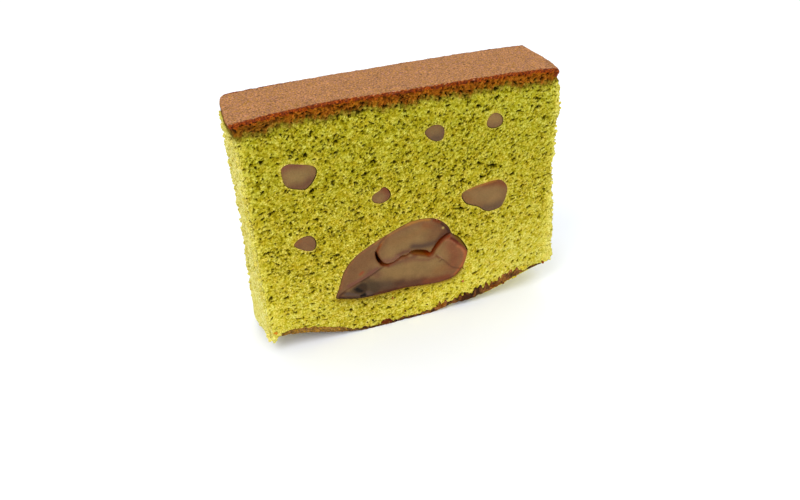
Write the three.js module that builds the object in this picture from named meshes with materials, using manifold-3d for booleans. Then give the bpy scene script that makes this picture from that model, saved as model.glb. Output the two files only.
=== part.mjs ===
// A slice of green-tea castella: a fine sponge with a browned top and a thin browned bottom,
// and seven pieces of candied chestnut that both cut faces show.
// Millimetres. X runs along the slice, Y from the front cut face to the back one, and Z up.
import * as THREE from 'three';
import { mergeVertices } from 'three/addons/utils/BufferGeometryUtils.js';
import Module from 'manifold-3d';

const { smoothstep } = THREE.MathUtils;

// The slice.
const FRONT = 0;                 // the front cut face
const THICK_LEFT = 20;           // from cut face to cut face, at the left end
const THICK_RIGHT = 21.1;        // and at the right end: the knife ran slightly aslant
const LEFT_END = -39.2;          // the sponge's left end at the front
const RIGHT_END = 40.6;          // and its right end
const END_SLANT = 1;             // how much further out both ends are at the back
const END_BULGE = 0.6;           // the left end is full between its corners
const FOOT_BULGE = 1.4;          // and fuller still near the table
const TOP = 64.6;                // the top at the two ends
const CROWN = { front: 1.2, back: 0.5 };            // how much higher it is between them
const SWELL = { x: -16, width: 12, height: 0.4 };   // a slight rise of the front edge

// The underside: flat where the slice rests, with both ends curled up off the table.
const LEFT_CURL = { from: -12, to: -37, lift: 4.9 };
const STEP_UP = { from: 4, to: 13, lift: 1.3 };
const RIGHT_CURL = { from: 15, to: 42, lift: 6.4 };
const FOOT_TUCK = { height: 13, front: 1, back: -0.8 };   // the left end's foot goes in at the front
const FOOT_SPREAD = 1.9;                                  // and the right one's goes out
const CORNER_CRUMB = 1.6;                                 // a crumb hangs at the front left corner

// The browned crusts, as distances below the top and above the underside.
const CRUST = 2.6;               // the top crust's thickness on the cut faces
const CRUST_LEFT = { front: -40, back: -39.2 };     // how far the crust reaches at its two ends
const CRUST_RIGHT = { front: 40.1, back: 41.9 };
const CRUST_CORNER = { left: 0.5, right: 0.1 };     // its corners are rounded off by this much
const CRUST_NOSE = [             // its rounded ends: [below the top, how far in from its tip]
  [0, 0.7],
  [0.4, 0.2],
  [1.1, 0],
  [1.9, 0.3],
  [CRUST, 0.8],
];
const UNDERCUT = [               // the sponge below the nose: [below the top, how far in from its end]
  [3.6, 0.4],
  [5.2, 0],
];
const TOP_EDGE_ROUND = 0.35;     // the crust's long edges, rounded by the knife
const BOTTOM_CRUST = 1.1;        // the bottom crust's thickness
const BOTTOM_LIP = 0.5;          // how far its lumps stand out of the cut faces
const CRUMB_ROUGH = 0.25;        // how uneven the cut faces are
const END_ROUGH = 0.35;          // and the two ends

// The sponge's mesh: cells along X, Y and Z between the crusts.
const CELLS = { x: 30, y: 6, z: 17 };

// The chestnuts stand a little back from the cut faces and clear of the sponge all round.
const RECESS = 0.15;
const CLEARANCE = 0.3;

// The big chestnut's skin on the front cut face, from the upper lip of its fold over the top,
// the left tip, the underside and the right end to the lower lip.
const BIG_SKIN = [
  [11.2, 25.1], [8.8, 28.9], [5, 30.5], [0.4, 30.5], [-5.3, 28.6], [-10.8, 26.2], [-14.8, 23.9],
  [-17.8, 20.6], [-19.7, 15.8], [-20.8, 12.7], [-19.2, 12.1], [-14.7, 10.9], [-7.7, 10.6],
  [0, 10.8], [7.6, 10], [12.2, 10.7], [14.8, 13.7], [16.3, 17.9], [14.3, 22], [11.7, 24.6],
];
// Its fold, from the mouth to the blind end: [x, z, half of the gap].
const BIG_FOLD = [
  [10.5, 24.2, 0.3], [8.7, 23, 0.35], [7.3, 21.4, 0.35], [5.7, 19.5, 0.6], [4, 20.1, 0.85],
  [0.9, 21.1, 0.8], [-0.6, 20.6, 0.3], [-2.2, 20.6, 0.4], [-4.6, 19.5, 0.15], [-6.5, 19.2, 0.25],
  [-8, 19.9, 0.5], [-8.9, 21.7, 0.4], [-9.3, 23.3, 0.3], [-9.5, 24.2, 0.1],
];

// The chestnuts. skin: the outline on the front cut face. back: its size on the back cut face,
// middle: how much it swells halfway, shift: where the back is against the front, turn: degrees.
const CHESTNUTS = [
  {
    name: 'chestnut_large', skin: BIG_SKIN, fold: BIG_FOLD,
    back: 0.9, middle: 0.06, shift: [-2.2, 1.2], turn: 7, sides: 60, steps: 6,
  },
  {
    name: 'chestnut_left',
    skin: [
      [-30, 52.4], [-28.4, 53], [-24.6, 52.2], [-22.6, 50.4], [-23.6, 47.6], [-25.4, 46.1],
      [-28, 46.4], [-30, 48.1],
    ],
    back: 0.75, middle: 0.18, shift: [1.6, -1.4], turn: -12, sides: 26, steps: 5,
  },
  {
    name: 'chestnut_right',
    skin: [
      [14.5, 35], [16.8, 36.8], [22, 37.5], [26, 37.3], [27.5, 34.6], [26.5, 30.6], [24.1, 29],
      [21.3, 29.2], [18.8, 31.4], [15.9, 32.6],
    ],
    back: 0.82, middle: 0.12, shift: [-1.8, -1.2], turn: 10, sides: 30, steps: 5,
  },
  {
    name: 'chestnut_centre',
    skin: [[-9.5, 39.9], [-7.7, 41.2], [-6.1, 42.1], [-4.7, 39.8], [-5.9, 38.1], [-8.6, 38.2]],
    back: 1.15, middle: 0.25, shift: [1.2, 0.8], turn: 20, sides: 18, steps: 4,
  },
  {
    name: 'chestnut_upper',
    skin: [[5, 54.3], [6.6, 55.8], [8.9, 55.8], [9.9, 54], [8.9, 51.9], [6.8, 52]],
    back: 0.8, middle: 0.25, shift: [-1.1, 0.7], turn: -15, sides: 18, steps: 4,
  },
  {
    name: 'chestnut_corner',
    skin: [[21.1, 53.8], [22, 55.7], [23.9, 56], [25.5, 54.2], [24.7, 52.6], [22, 52.4]],
    back: 1.2, middle: 0.2, shift: [1, -1.1], turn: 12, sides: 18, steps: 4,
  },
  {
    name: 'chestnut_low',
    skin: [[-29.9, 31.3], [-27.4, 32.9], [-25.4, 32.8], [-24.7, 30.9], [-25.7, 28.8], [-28.2, 29.4]],
    back: 0.85, middle: 0.25, shift: [1.3, 0.6], turn: 18, sides: 18, steps: 4,
  },
];

const COLOURS = {
  sponge: new THREE.MeshStandardMaterial({ name: 'sponge', color: 0xaca02c, roughness: 0.95 }),
  chestnut: new THREE.MeshStandardMaterial({ name: 'chestnut', color: 0x8b6b47, roughness: 0.4 }),
};

// How far a point is along a stretch, eased at both ends; the stretch may run either way.
function eased(x, { from, to }) {
  return from < to ? smoothstep(x, from, to) : smoothstep(-x, -from, -to);
}

// A repeatable unevenness from 0 to 1 for a point of a grid.
function roughness(i, j, salt) {
  const wave = Math.sin(i * 127.1 + j * 311.7 + salt * 74.7) * 43758.5453;
  return wave - Math.floor(wave);
}

function backFace(x) {
  const along = (x - LEFT_END) / (RIGHT_END - LEFT_END);
  return FRONT + THREE.MathUtils.lerp(THICK_LEFT, THICK_RIGHT, along);
}

function topHeight(x, depth) {
  const fromMiddle = (2 * x - LEFT_END - RIGHT_END) / (RIGHT_END - LEFT_END);
  const crown = THREE.MathUtils.lerp(CROWN.front, CROWN.back, depth);
  const swell = SWELL.height * (1 - depth) * Math.exp(-(((x - SWELL.x) / SWELL.width) ** 2));
  return TOP + crown * (1 - fromMiddle ** 4) + swell;
}

function undersideHeight(x) {
  return [LEFT_CURL, STEP_UP, RIGHT_CURL].reduce((sum, curl) => sum + curl.lift * eased(x, curl), 0);
}

// The ends of the sponge at a share of its depth (0 front, 1 back) and a height.
function leftEnd(depth, height) {
  const foot = 1 - smoothstep(height, 0, FOOT_TUCK.height);
  const bulge = (END_BULGE + FOOT_BULGE * foot) * Math.sqrt(Math.sin(Math.PI * depth));
  return LEFT_END - END_SLANT * depth - bulge + foot * THREE.MathUtils.lerp(FOOT_TUCK.front, FOOT_TUCK.back, depth);
}

function rightEnd(depth, height) {
  return RIGHT_END + END_SLANT * depth + FOOT_SPREAD * (1 - height / TOP) ** 2;
}

// The heights of the sponge's rows: the bottom crust, even cells, then the undercut and the crust's nose.
function rowHeights(x, depth) {
  const floor = undersideHeight(x);
  const top = topHeight(x, depth);
  const upper = CRUST_NOSE.concat(UNDERCUT).map(([below]) => top - below).reverse();
  const rows = [floor];
  for (let k = 0; k < CELLS.z; k += 1) {
    rows.push(THREE.MathUtils.lerp(floor + BOTTOM_CRUST, upper[0], k / CELLS.z));
  }
  return rows.concat(upper);
}

// The two ends of a row: the crust's nose, the undercut below it, or the plain sponge.
function rowEnds(k, count, depth, z) {
  const fromTop = count.z - k;
  if (fromTop < CRUST_NOSE.length) {
    const inset = CRUST_NOSE[fromTop][1];
    const corner = depth === 0 || depth === 1 ? CRUST_CORNER : { left: 0, right: 0 };
    const left = THREE.MathUtils.lerp(CRUST_LEFT.front, CRUST_LEFT.back, depth);
    const right = THREE.MathUtils.lerp(CRUST_RIGHT.front, CRUST_RIGHT.back, depth);
    return [left + inset + corner.left, right - inset - corner.right];
  }
  const undercut = UNDERCUT[fromTop - CRUST_NOSE.length];
  const inset = undercut ? undercut[1] : 0;
  return [leftEnd(depth, z) + inset, rightEnd(depth, z) - inset];
}

// How far a point of a cut face lies in from the flat cut: less than nothing where it stands out.
function cutInset(i, j, k, count) {
  if (k === count.z) {
    return TOP_EDGE_ROUND;
  }
  if (k < 2) {
    return -BOTTOM_LIP * roughness(i, k, 2 + j) ** 3;
  }
  return CRUMB_ROUGH * roughness(i, k, 3 + j);
}

// The place of a point of the sponge's grid of cells, given as whole numbers.
function spongePoint(i, j, k, count) {
  const depth = j / count.y;
  const evenly = THREE.MathUtils.lerp(LEFT_END, RIGHT_END, i / count.x);
  const z = rowHeights(evenly, depth)[k];
  const [left, right] = rowEnds(k, count, depth, z);
  let x = THREE.MathUtils.lerp(left, right, i / count.x);
  const isCrumb = k > 1 && count.z - k >= CRUST_NOSE.length;
  if (isCrumb && (i === 0 || i === count.x)) {
    x += (i === 0 ? 1 : -1) * END_ROUGH * roughness(j, k, 1);
  }
  let y = THREE.MathUtils.lerp(FRONT, backFace(evenly), depth);
  if (j === 0 || j === count.y) {
    y += (j === 0 ? 1 : -1) * cutInset(i, j, k, count);
  }
  const hangs = i === 0 && j === 0 && k === 0;
  return [x, y, hangs ? z - CORNER_CRUMB : z];
}

// The whole sponge as one closed box of cells, before the chestnuts' places are cut out.
function spongeBlock() {
  const count = { x: CELLS.x, y: CELLS.y, z: rowHeights(0, 0).length - 1 };
  const block = new THREE.BoxGeometry(count.x, count.y, count.z, count.x, count.y, count.z);
  const places = block.attributes.position;
  for (let n = 0; n < places.count; n += 1) {
    const i = Math.round(places.getX(n) + count.x / 2);
    const j = Math.round(places.getY(n) + count.y / 2);
    const k = Math.round(places.getZ(n) + count.z / 2);
    places.setXYZ(n, ...spongePoint(i, j, k, count));
  }
  return block;
}

// A smooth curve through points [x, z], as evenly spaced Vector2.
function smoothLine(points, divisions, closed) {
  const through = points.map(([x, z]) => new THREE.Vector3(x, z, 0));
  const curve = new THREE.CatmullRomCurve3(through, closed, 'centripetal');
  const spaced = curve.getSpacedPoints(divisions);
  return (closed ? spaced.slice(0, -1) : spaced).map((p) => new THREE.Vector2(p.x, p.y));
}

// The outline moved outwards by a distance, along the normal of its neighbours' chord.
function grown(outline, distance) {
  const turnsLeft = THREE.ShapeUtils.area(outline) > 0 ? 1 : -1;
  return outline.map((point, n) => {
    const before = outline[(n + outline.length - 1) % outline.length];
    const after = outline[(n + 1) % outline.length];
    const along = after.clone().sub(before).normalize();
    return new THREE.Vector2(point.x + turnsLeft * along.y * distance, point.y - turnsLeft * along.x * distance);
  });
}

// Both walls of a fold, from the mouth's lower lip to the blind end and back to its upper lip.
function foldWalls(fold) {
  const lower = [];
  const upper = [];
  fold.forEach(([x, z, half], n) => {
    const [fromX, fromZ] = fold[Math.max(n - 1, 0)];
    const [toX, toZ] = fold[Math.min(n + 1, fold.length - 1)];
    const across = new THREE.Vector2(fromZ - toZ, toX - fromX).normalize().multiplyScalar(half);
    lower.push(new THREE.Vector2(x + across.x, z + across.y));
    upper.push(new THREE.Vector2(x - across.x, z - across.y));
  });
  return lower.concat(upper.reverse());
}

// A prism of an outline through the slice, that swells, shifts and turns on its way to the back.
// past: how far it runs beyond both cut faces, or a negative number to stop short of them.
function throughSlice(outline, chestnut, past) {
  const middle = new THREE.Box2().setFromPoints(chestnut.skin.map((p) => new THREE.Vector2(...p)))
    .getCenter(new THREE.Vector2());
  const prism = new THREE.ExtrudeGeometry(new THREE.Shape(outline), {
    depth: 1, steps: chestnut.steps, bevelEnabled: false,
  });
  const places = prism.attributes.position;
  for (let n = 0; n < places.count; n += 1) {
    const share = places.getZ(n);
    const scale = THREE.MathUtils.lerp(1, chestnut.back, share) + chestnut.middle * Math.sin(Math.PI * share);
    const offset = new THREE.Vector2(places.getX(n), places.getY(n)).sub(middle);
    offset.multiplyScalar(scale).rotateAround(new THREE.Vector2(), THREE.MathUtils.degToRad(chestnut.turn * share));
    const x = middle.x + offset.x + chestnut.shift[0] * share;
    const z = middle.y + offset.y + chestnut.shift[1] * share;
    const y = THREE.MathUtils.lerp(FRONT - past, backFace(x) + past, share);
    places.setXYZ(n, x, y, z);
  }
  return turnedOut(prism);
}

// Swapping Y and Z mirrors a mesh, so each triangle is turned round to face out again.
function turnedOut(geometry) {
  const places = geometry.attributes.position;
  const corner = new THREE.Vector3();
  for (let n = 0; n < places.count; n += 3) {
    corner.fromBufferAttribute(places, n + 1);
    places.setXYZ(n + 1, places.getX(n + 2), places.getY(n + 2), places.getZ(n + 2));
    places.setXYZ(n + 2, corner.x, corner.y, corner.z);
  }
  return geometry;
}

// The piece itself: the skin, and the walls of its fold where it has one.
function chestnutGeometry(chestnut) {
  const skin = smoothLine(chestnut.skin, chestnut.sides, !chestnut.fold);
  const outline = chestnut.fold ? skin.concat(foldWalls(chestnut.fold)) : skin;
  return throughSlice(outline, chestnut, -RECESS);
}

// The space that the piece takes in the sponge.
function pocketGeometry(chestnut) {
  const skin = smoothLine(chestnut.skin, chestnut.sides, true);
  return throughSlice(grown(skin, CLEARANCE), chestnut, CLEARANCE + BOTTOM_LIP);
}

const wasm = await Module();
wasm.setup();

function toSolid(geometry) {
  const bare = new THREE.BufferGeometry();
  bare.setAttribute('position', geometry.attributes.position);
  bare.setIndex(geometry.index);
  const merged = mergeVertices(bare, 1e-4);
  return new wasm.Manifold(new wasm.Mesh({
    numProp: 3,
    vertProperties: merged.attributes.position.array,
    triVerts: new Uint32Array(merged.index.array),
  }));
}

function fromSolid(solid) {
  const { vertProperties, triVerts } = solid.getMesh();
  const geometry = new THREE.BufferGeometry();
  geometry.setAttribute('position', new THREE.BufferAttribute(vertProperties, 3));
  geometry.setIndex(new THREE.BufferAttribute(triVerts, 1));
  geometry.computeVertexNormals();
  return geometry;
}

const pockets = CHESTNUTS.map((chestnut) => toSolid(pocketGeometry(chestnut)));
const crumb = pockets.reduce((solid, pocket) => solid.subtract(pocket), toSolid(spongeBlock()));

const slice = new THREE.Group();
const sponge = new THREE.Mesh(fromSolid(crumb), COLOURS.sponge);
sponge.name = 'sponge';
slice.add(sponge);

for (const chestnut of CHESTNUTS) {
  const piece = new THREE.Mesh(chestnutGeometry(chestnut), COLOURS.chestnut);
  piece.name = chestnut.name;
  slice.add(piece);
}

// The origin is under the middle of the slice's box, on the table.
const box = new THREE.Box3().setFromObject(slice, true);
const centre = box.getCenter(new THREE.Vector3());
slice.position.set(-centre.x, -centre.y, -box.min.z);

export default slice;
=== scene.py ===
import math

import bmesh
import bpy
import numpy as np
from mathutils import Matrix, Vector
from mathutils.geometry import delaunay_2d_cdt


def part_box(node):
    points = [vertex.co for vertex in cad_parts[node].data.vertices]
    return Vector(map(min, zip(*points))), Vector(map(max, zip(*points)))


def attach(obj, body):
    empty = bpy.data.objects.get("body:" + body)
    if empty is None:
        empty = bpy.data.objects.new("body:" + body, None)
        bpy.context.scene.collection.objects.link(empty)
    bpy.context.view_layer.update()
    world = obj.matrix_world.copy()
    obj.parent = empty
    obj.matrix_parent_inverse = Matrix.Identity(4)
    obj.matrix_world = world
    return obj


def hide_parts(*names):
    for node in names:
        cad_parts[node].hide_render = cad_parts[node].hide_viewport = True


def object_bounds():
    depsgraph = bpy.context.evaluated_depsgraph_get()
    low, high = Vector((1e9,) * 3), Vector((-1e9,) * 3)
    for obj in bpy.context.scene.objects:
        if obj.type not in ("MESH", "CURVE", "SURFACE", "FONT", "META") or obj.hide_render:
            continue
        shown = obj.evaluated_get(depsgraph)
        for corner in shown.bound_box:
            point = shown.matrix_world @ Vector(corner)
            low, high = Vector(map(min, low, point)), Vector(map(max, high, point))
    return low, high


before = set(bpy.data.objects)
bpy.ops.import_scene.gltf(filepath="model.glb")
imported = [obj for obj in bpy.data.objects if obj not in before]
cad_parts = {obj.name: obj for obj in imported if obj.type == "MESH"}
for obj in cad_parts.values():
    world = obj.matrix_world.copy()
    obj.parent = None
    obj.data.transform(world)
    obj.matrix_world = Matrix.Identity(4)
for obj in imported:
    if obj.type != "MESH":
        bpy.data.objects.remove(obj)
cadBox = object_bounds()
print("frame loaded")

# The slice in millimetres: x along its top front edge, y from the front cut face to the back one, z up.
cake = {
    "thickLeft": 20, "thickRight": 21.1,
    "leftEnd": -39.2, "rightEnd": 40.6,
    "endSlant": 1, "endBulge": 0.6, "footBulge": 1.4,
    "footTuckFront": 1, "footTuckBack": -0.8, "footHeight": 13, "footSpread": 1.9,
    "top": 64.6, "crownFront": 1.2, "crownBack": 0.5,
    "swellAt": -16, "swellWidth": 12, "swell": 0.4,
    "curls": [(-12, -37, 4.9), (4, 13, 1.3), (15, 42, 6.4)],   # the underside lifts: from, to, by
    "recess": 0.15,              # how far the chestnuts lie in from the cut faces
}
topLength = cake["rightEnd"] - cake["leftEnd"]
millimetre = 0.001


def smooth(x, start, end):
    t = np.clip((x - start) / (end - start), 0, 1)
    return t * t * (3 - 2 * t)


def between(a, b, share):
    return a + (b - a) * share


def fade(away, reach):                   # one at the place itself, next to nothing beyond twice the reach
    return np.exp(-((away / reach) ** 2))


def valueAt(x, steps):                   # from a list of (place, value)
    return np.interp(x, *np.array(steps).T)


def backFace(x):
    return between(cake["thickLeft"], cake["thickRight"], (x - cake["leftEnd"]) / topLength)


def topHeight(x, depth):
    fromMiddle = (2 * x - cake["leftEnd"] - cake["rightEnd"]) / topLength
    crown = between(cake["crownFront"], cake["crownBack"], depth)
    swell = cake["swell"] * (1 - depth) * fade(x - cake["swellAt"], cake["swellWidth"])
    return cake["top"] + crown * (1 - fromMiddle ** 4) + swell


def underside(x):
    return sum(lift * smooth(x, start, end) for start, end, lift in cake["curls"])


def leftEnd(depth, z):
    foot = 1 - smooth(z, 0, cake["footHeight"])
    bulge = (cake["endBulge"] + cake["footBulge"] * foot) * np.sqrt(np.sin(math.pi * np.clip(depth, 0, 1)))
    tuck = foot * between(cake["footTuckFront"], cake["footTuckBack"], depth)
    return cake["leftEnd"] - cake["endSlant"] * depth - bulge + tuck


def rightEnd(depth, z):
    return cake["rightEnd"] + cake["endSlant"] * depth + cake["footSpread"] * (1 - z / cake["top"]) ** 2


# Where the slice's own zero lies in the frame, from two places that both share.
shift = np.array([
    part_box("sponge")[1].x / millimetre - rightEnd(1, underside(cake["rightEnd"])),
    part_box("chestnut_large")[0].y / millimetre - cake["recess"],
    0,
])


def toSlice(points):                     # from the frame's metres
    return np.array(points) / millimetre - shift


cadLow, cadHigh = (toSlice(corner) for corner in cadBox)


# Smooth seeded unevenness over a grid: lumps about "size" across, drawn out along a leaning line.
def grain(shape, cell, size, seed, stretch=1.0, lean=0.0, spread=0.45):
    rng = np.random.default_rng(seed)
    fx = np.fft.fftfreq(shape[0], cell)[:, None]
    fz = np.fft.fftfreq(shape[1], cell)[None, :]
    turn = math.radians(lean)
    along = (fx * math.cos(turn) + fz * math.sin(turn)) * stretch
    across = fz * math.cos(turn) - fx * math.sin(turn)
    keep = fade(np.hypot(along, across) * size - 1, spread)
    field = np.fft.ifft2(np.fft.fft2(rng.standard_normal(shape)) * keep).real
    return field / field.std()


# Rounded granules: how far each grid point lies from the nearest seeded centre, as a share of "size".
def granules(shape, cell, size, seed):
    rng = np.random.default_rng(seed)
    steps = [np.arange(n) * cell / size + 2 for n in shape]
    centres = rng.random((int(steps[0][-1]) + 3, int(steps[1][-1]) + 3, 2))
    gx, gz = np.meshgrid(*steps, indexing="ij")
    gx = gx + 0.25 * grain(shape, cell, 1.3 * size, seed + 7)
    gz = gz + 0.25 * grain(shape, cell, 1.3 * size, seed + 8)
    nearest = np.full(shape, 9.0)
    for stepX in (-1, 0, 1):
        for stepZ in (-1, 0, 1):
            ix = np.clip(np.floor(gx).astype(int) + stepX, 0, centres.shape[0] - 1)
            iz = np.clip(np.floor(gz).astype(int) + stepZ, 0, centres.shape[1] - 1)
            away = np.hypot(ix + centres[ix, iz, 0] - gx, iz + centres[ix, iz, 1] - gz)
            nearest = np.minimum(nearest, away)
    return nearest


def paint(code):                         # a colour code as the shader's own numbers
    value = np.array([int(code[n:n + 2], 16) for n in (1, 3, 5)]) / 255
    return np.where(value <= 0.04045, value / 12.92, ((value + 0.055) / 1.055) ** 2.4)


# Colours along a number: a palette is a list of (number, colour).
def shade(values, palette):
    at = [number for number, code in palette]
    colours = np.array([paint(code) for number, code in palette])
    return np.stack([np.interp(values, at, colours[:, n]) for n in range(3)], -1)


def mix(a, b, share):
    return a + (b - a) * np.asarray(share)[..., None]


# A mesh from points in millimetres and a list of face arrays; colours are one for each point.
def addPiece(name, points, faces, colours):
    at = (np.asarray(points, float).reshape(-1, 3) + shift) * millimetre
    mesh = bpy.data.meshes.new(name)
    corners = np.concatenate([f.ravel() for f in faces]).astype(np.int32)
    sizes = np.concatenate([np.full(len(f), f.shape[1]) for f in faces])
    starts = np.concatenate([[0], np.cumsum(sizes)[:-1]]).astype(np.int32)
    mesh.vertices.add(len(at))
    mesh.vertices.foreach_set("co", at.ravel())
    mesh.loops.add(len(corners))
    mesh.loops.foreach_set("vertex_index", corners)
    mesh.polygons.add(len(starts))
    mesh.polygons.foreach_set("loop_start", starts)
    mesh.update(calc_edges=True)
    mesh.validate()
    layer = mesh.color_attributes.new("colour", "FLOAT_COLOR", "POINT")
    rgba = np.ones((len(at), 4))
    rgba[:, :colours.shape[1]] = np.clip(colours, 0, 1)
    layer.data.foreach_set("color", rgba.ravel())
    mesh.shade_smooth()
    piece = bpy.data.objects.new(name, mesh)
    bpy.context.scene.collection.objects.link(piece)
    return piece


def places(x, y, z):
    return np.stack(np.broadcast_arrays(x, y, z), -1)


def turned(faces, flip):
    return faces[:, ::-1] if flip else faces


def quads(*corners):
    return np.stack([c.ravel() for c in corners], -1)


def gridFaces(ids, flip=False):
    return turned(quads(ids[:-1, :-1], ids[1:, :-1], ids[1:, 1:], ids[:-1, 1:]), flip)


def oneFace(*parts):                     # a single face from single corners and rows of them
    return np.concatenate([np.atleast_1d(part) for part in parts])[None]


def ringed(ids):
    return np.concatenate([ids, ids[:, :1]], 1)


def tube(ids):                           # rings joined into a tube, with a face over each end
    return [gridFaces(ringed(ids)), ids[0][None], ids[-1][::-1][None]]


view = {
    "at": (-52.192, -159.542, 125.039),      # millimetres in the frame
    "turn": 18.0331, "tilt": 33.0716, "roll": 2.9368,
    "lens": 32.4, "sensor": 36,
}


def addCamera():
    a, e, r = (math.radians(view[name]) for name in ("turn", "tilt", "roll"))
    forward = Vector((math.sin(a) * math.cos(e), math.cos(a) * math.cos(e), -math.sin(e)))
    level = forward.cross(Vector((0, 0, 1))).normalized()
    below = forward.cross(level)
    right = level * math.cos(r) + below * math.sin(r)
    down = below * math.cos(r) - level * math.sin(r)
    data = bpy.data.cameras.new("camera")
    data.lens = view["lens"]
    data.sensor_width = view["sensor"]
    camera = bpy.data.objects.new("camera", data)
    facing = Matrix((right, -down, -forward)).transposed().to_4x4()
    camera.matrix_world = Matrix.Translation(Vector(view["at"]) * millimetre) @ facing
    bpy.context.scene.collection.objects.link(camera)
    bpy.context.scene.camera = camera


# Sets the inputs of a node by their names; an underscore stands for a space.
def fill(node, **values):
    for name, value in values.items():
        node.inputs[name.replace("_", " ")].default_value = value


# A new material with its nodes, its shader and short ways to add nodes and join them.
class Finish:
    def __init__(self, name, **values):
        self.material = bpy.data.materials.new(name)
        self.material.use_nodes = True
        self.tree = self.material.node_tree
        self.shader = self.tree.nodes["Principled BSDF"]
        fill(self.shader, **values)

    def node(self, kind, **values):
        made = self.tree.nodes.new(kind)
        for name, value in values.items():
            setattr(made, name, value)
        return made

    def join(self, out, into):
        self.tree.links.new(out, into)

    def give(self, name, out):                          # joins an output to an input of the shader
        self.join(out, self.shader.inputs[name])

    def painted(self):                                  # the piece's paint, as Color and Alpha
        return self.node("ShaderNodeAttribute", attribute_name="colour").outputs

    def placed(self, node, size):                       # a pattern with parts of a size in millimetres
        fill(node, Scale=1 / (size * millimetre))
        self.join(self.node("ShaderNodeTexCoord").outputs["Object"], node.inputs["Vector"])
        return node.outputs

    def pattern(self, size, detail=2.0, rough=0.5):
        noise = self.node("ShaderNodeTexNoise")
        fill(noise, Detail=detail, Roughness=rough)
        return self.placed(noise, size)["Fac"]

    def knobs(self, size):                              # distance from scattered centres, about 0 to 1
        return self.placed(self.node("ShaderNodeTexVoronoi"), size)["Distance"]

    def range(self, value, low, high, start=0.3, end=0.7):
        node = self.node("ShaderNodeMapRange")
        fill(node, From_Min=start, From_Max=end, To_Min=low, To_Max=high)
        self.join(value, node.inputs["Value"])
        return node.outputs["Result"]

    def math(self, operation, a, b):
        node = self.node("ShaderNodeMath", operation=operation)
        for value, socket in zip((a, b), node.inputs):
            if isinstance(value, (int, float)):
                socket.default_value = value
            else:
                self.join(value, socket)
        return node.outputs["Value"]

    def varied(self, colour, amount, blue=None):        # the colour times an amount, its blue by another
        amounts = self.node("ShaderNodeCombineXYZ")
        for name, value in (("X", amount), ("Y", amount), ("Z", blue or amount)):
            self.join(value, amounts.inputs[name])
        node = self.node("ShaderNodeVectorMath", operation="MULTIPLY")
        self.join(colour, node.inputs[0])
        self.join(amounts.outputs["Vector"], node.inputs[1])
        return node.outputs["Vector"]

    def bump(self, height, depth, strength=1.0, under=None):
        node = self.node("ShaderNodeBump")
        fill(node, Distance=depth * millimetre, Strength=strength)
        self.join(height, node.inputs["Height"])
        if under:
            self.join(under, node.inputs["Normal"])
        return node.outputs["Normal"]


studio = {
    "floor": "#FCFDFF", "floorSize": 3.0, "floorRoughness": 0.5,
    "sky": "#F5F9FF", "skyStrength": 0.88,
    # name: where it stands, its size, its power, all in metres and watts
    "lamps": {
        "key": ((-0.5, -0.35, 0.75), 0.6, 3.8),
        "front": ((0.25, -0.8, 0.4), 0.6, 1.7),
        "back": ((0.2, 0.75, 0.6), 0.6, 1.4),
    },
}


def addStudio():
    scene = bpy.context.scene
    scene.view_settings.view_transform = "Standard"
    world = bpy.data.worlds.new("studio")
    world.use_nodes = True
    sky = world.node_tree.nodes["Background"]
    fill(sky, Color=(*paint(studio["sky"]), 1), Strength=studio["skyStrength"])
    scene.world = world
    for name, (place, size, power) in studio["lamps"].items():
        data = bpy.data.lights.new(name, "AREA")
        data.shape = "DISK"
        data.size = size
        data.energy = power
        lamp = bpy.data.objects.new(name, data)
        lamp.location = place
        lamp.rotation_euler = (-Vector(place)).to_track_quat("-Z", "Y").to_euler()
        scene.collection.objects.link(lamp)
    half = studio["floorSize"] / 2
    mesh = bpy.data.meshes.new("floor")
    corners = [(-half, -half, 0), (half, -half, 0), (half, half, 0), (-half, half, 0)]
    mesh.from_pydata(corners, [], [(0, 1, 2, 3)])
    floor = bpy.data.objects.new("floor", mesh)
    scene.collection.objects.link(floor)
    colour = (*paint(studio["floor"]), 1)
    finish = Finish("floorPaint", Base_Color=colour, Roughness=studio["floorRoughness"])
    mesh.materials.append(finish.material)


# Each finish: the sizes of its patterns and how deep its bumps look, in millimetres.
crumbLook = {
    "fine": 0.34, "knobs": 0.62, "specks": 0.52, "patches": 1.6,
    "fineDepth": 0.18, "knobDepth": 0.2, "speckDepth": 0.16,
    "patchTint": (1, 0.8, 0.5, 1),
    "blueFall": 2.6,             # how much faster than the rest its blue falls where it darkens
}


# The crumb's paint carries in its fourth value how strong its dark specks are: painted shade in its pores.
def crumbFinish():
    look = crumbLook
    f = Finish("spongeCrumb", Roughness=0.9, Specular_IOR_Level=0.02)
    fine = f.pattern(look["fine"], 2, 0.6)
    knobs = f.knobs(look["knobs"])
    specks = f.pattern(look["specks"], 3, 0.6)
    given = f.painted()
    strength = given["Alpha"]
    dark = f.node("ShaderNodeMix", data_type="FLOAT")
    fill(dark, A=1)
    f.join(strength, dark.inputs["Factor"])
    # painted shade: dark specks in the pores, and the knobs darker at their edges and lighter in their
    # middles
    poreShadeSpecks = f.range(specks, 0.1, 1.06, 0.355, 0.43)
    f.join(f.math("MULTIPLY", poreShadeSpecks, f.range(knobs, 1.26, 0.74, 0.2, 0.75)), dark.inputs["B"])
    hue = f.node("ShaderNodeMix", data_type="RGBA", blend_type="MULTIPLY")
    f.join(f.range(f.pattern(look["patches"]), 0, 0.5, 0.42, 0.72), hue.inputs["Factor"])
    f.join(given["Color"], hue.inputs["A"])
    fill(hue, B=look["patchTint"])
    light = f.math("MULTIPLY", f.range(fine, 0.7, 1.36), dark.outputs["Result"])
    blue = f.math("POWER", light, look["blueFall"])
    f.give("Base Color", f.varied(hue.outputs["Result"], light, blue))
    rough = f.bump(f.math("MULTIPLY", specks, strength), look["speckDepth"])
    raised = f.math("MULTIPLY", f.range(knobs, 1, 0, 0.1, 0.8), strength)
    rough = f.bump(raised, look["knobDepth"], under=rough)
    f.give("Normal", f.bump(fine, look["fineDepth"], under=rough))
    return f.material


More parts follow.
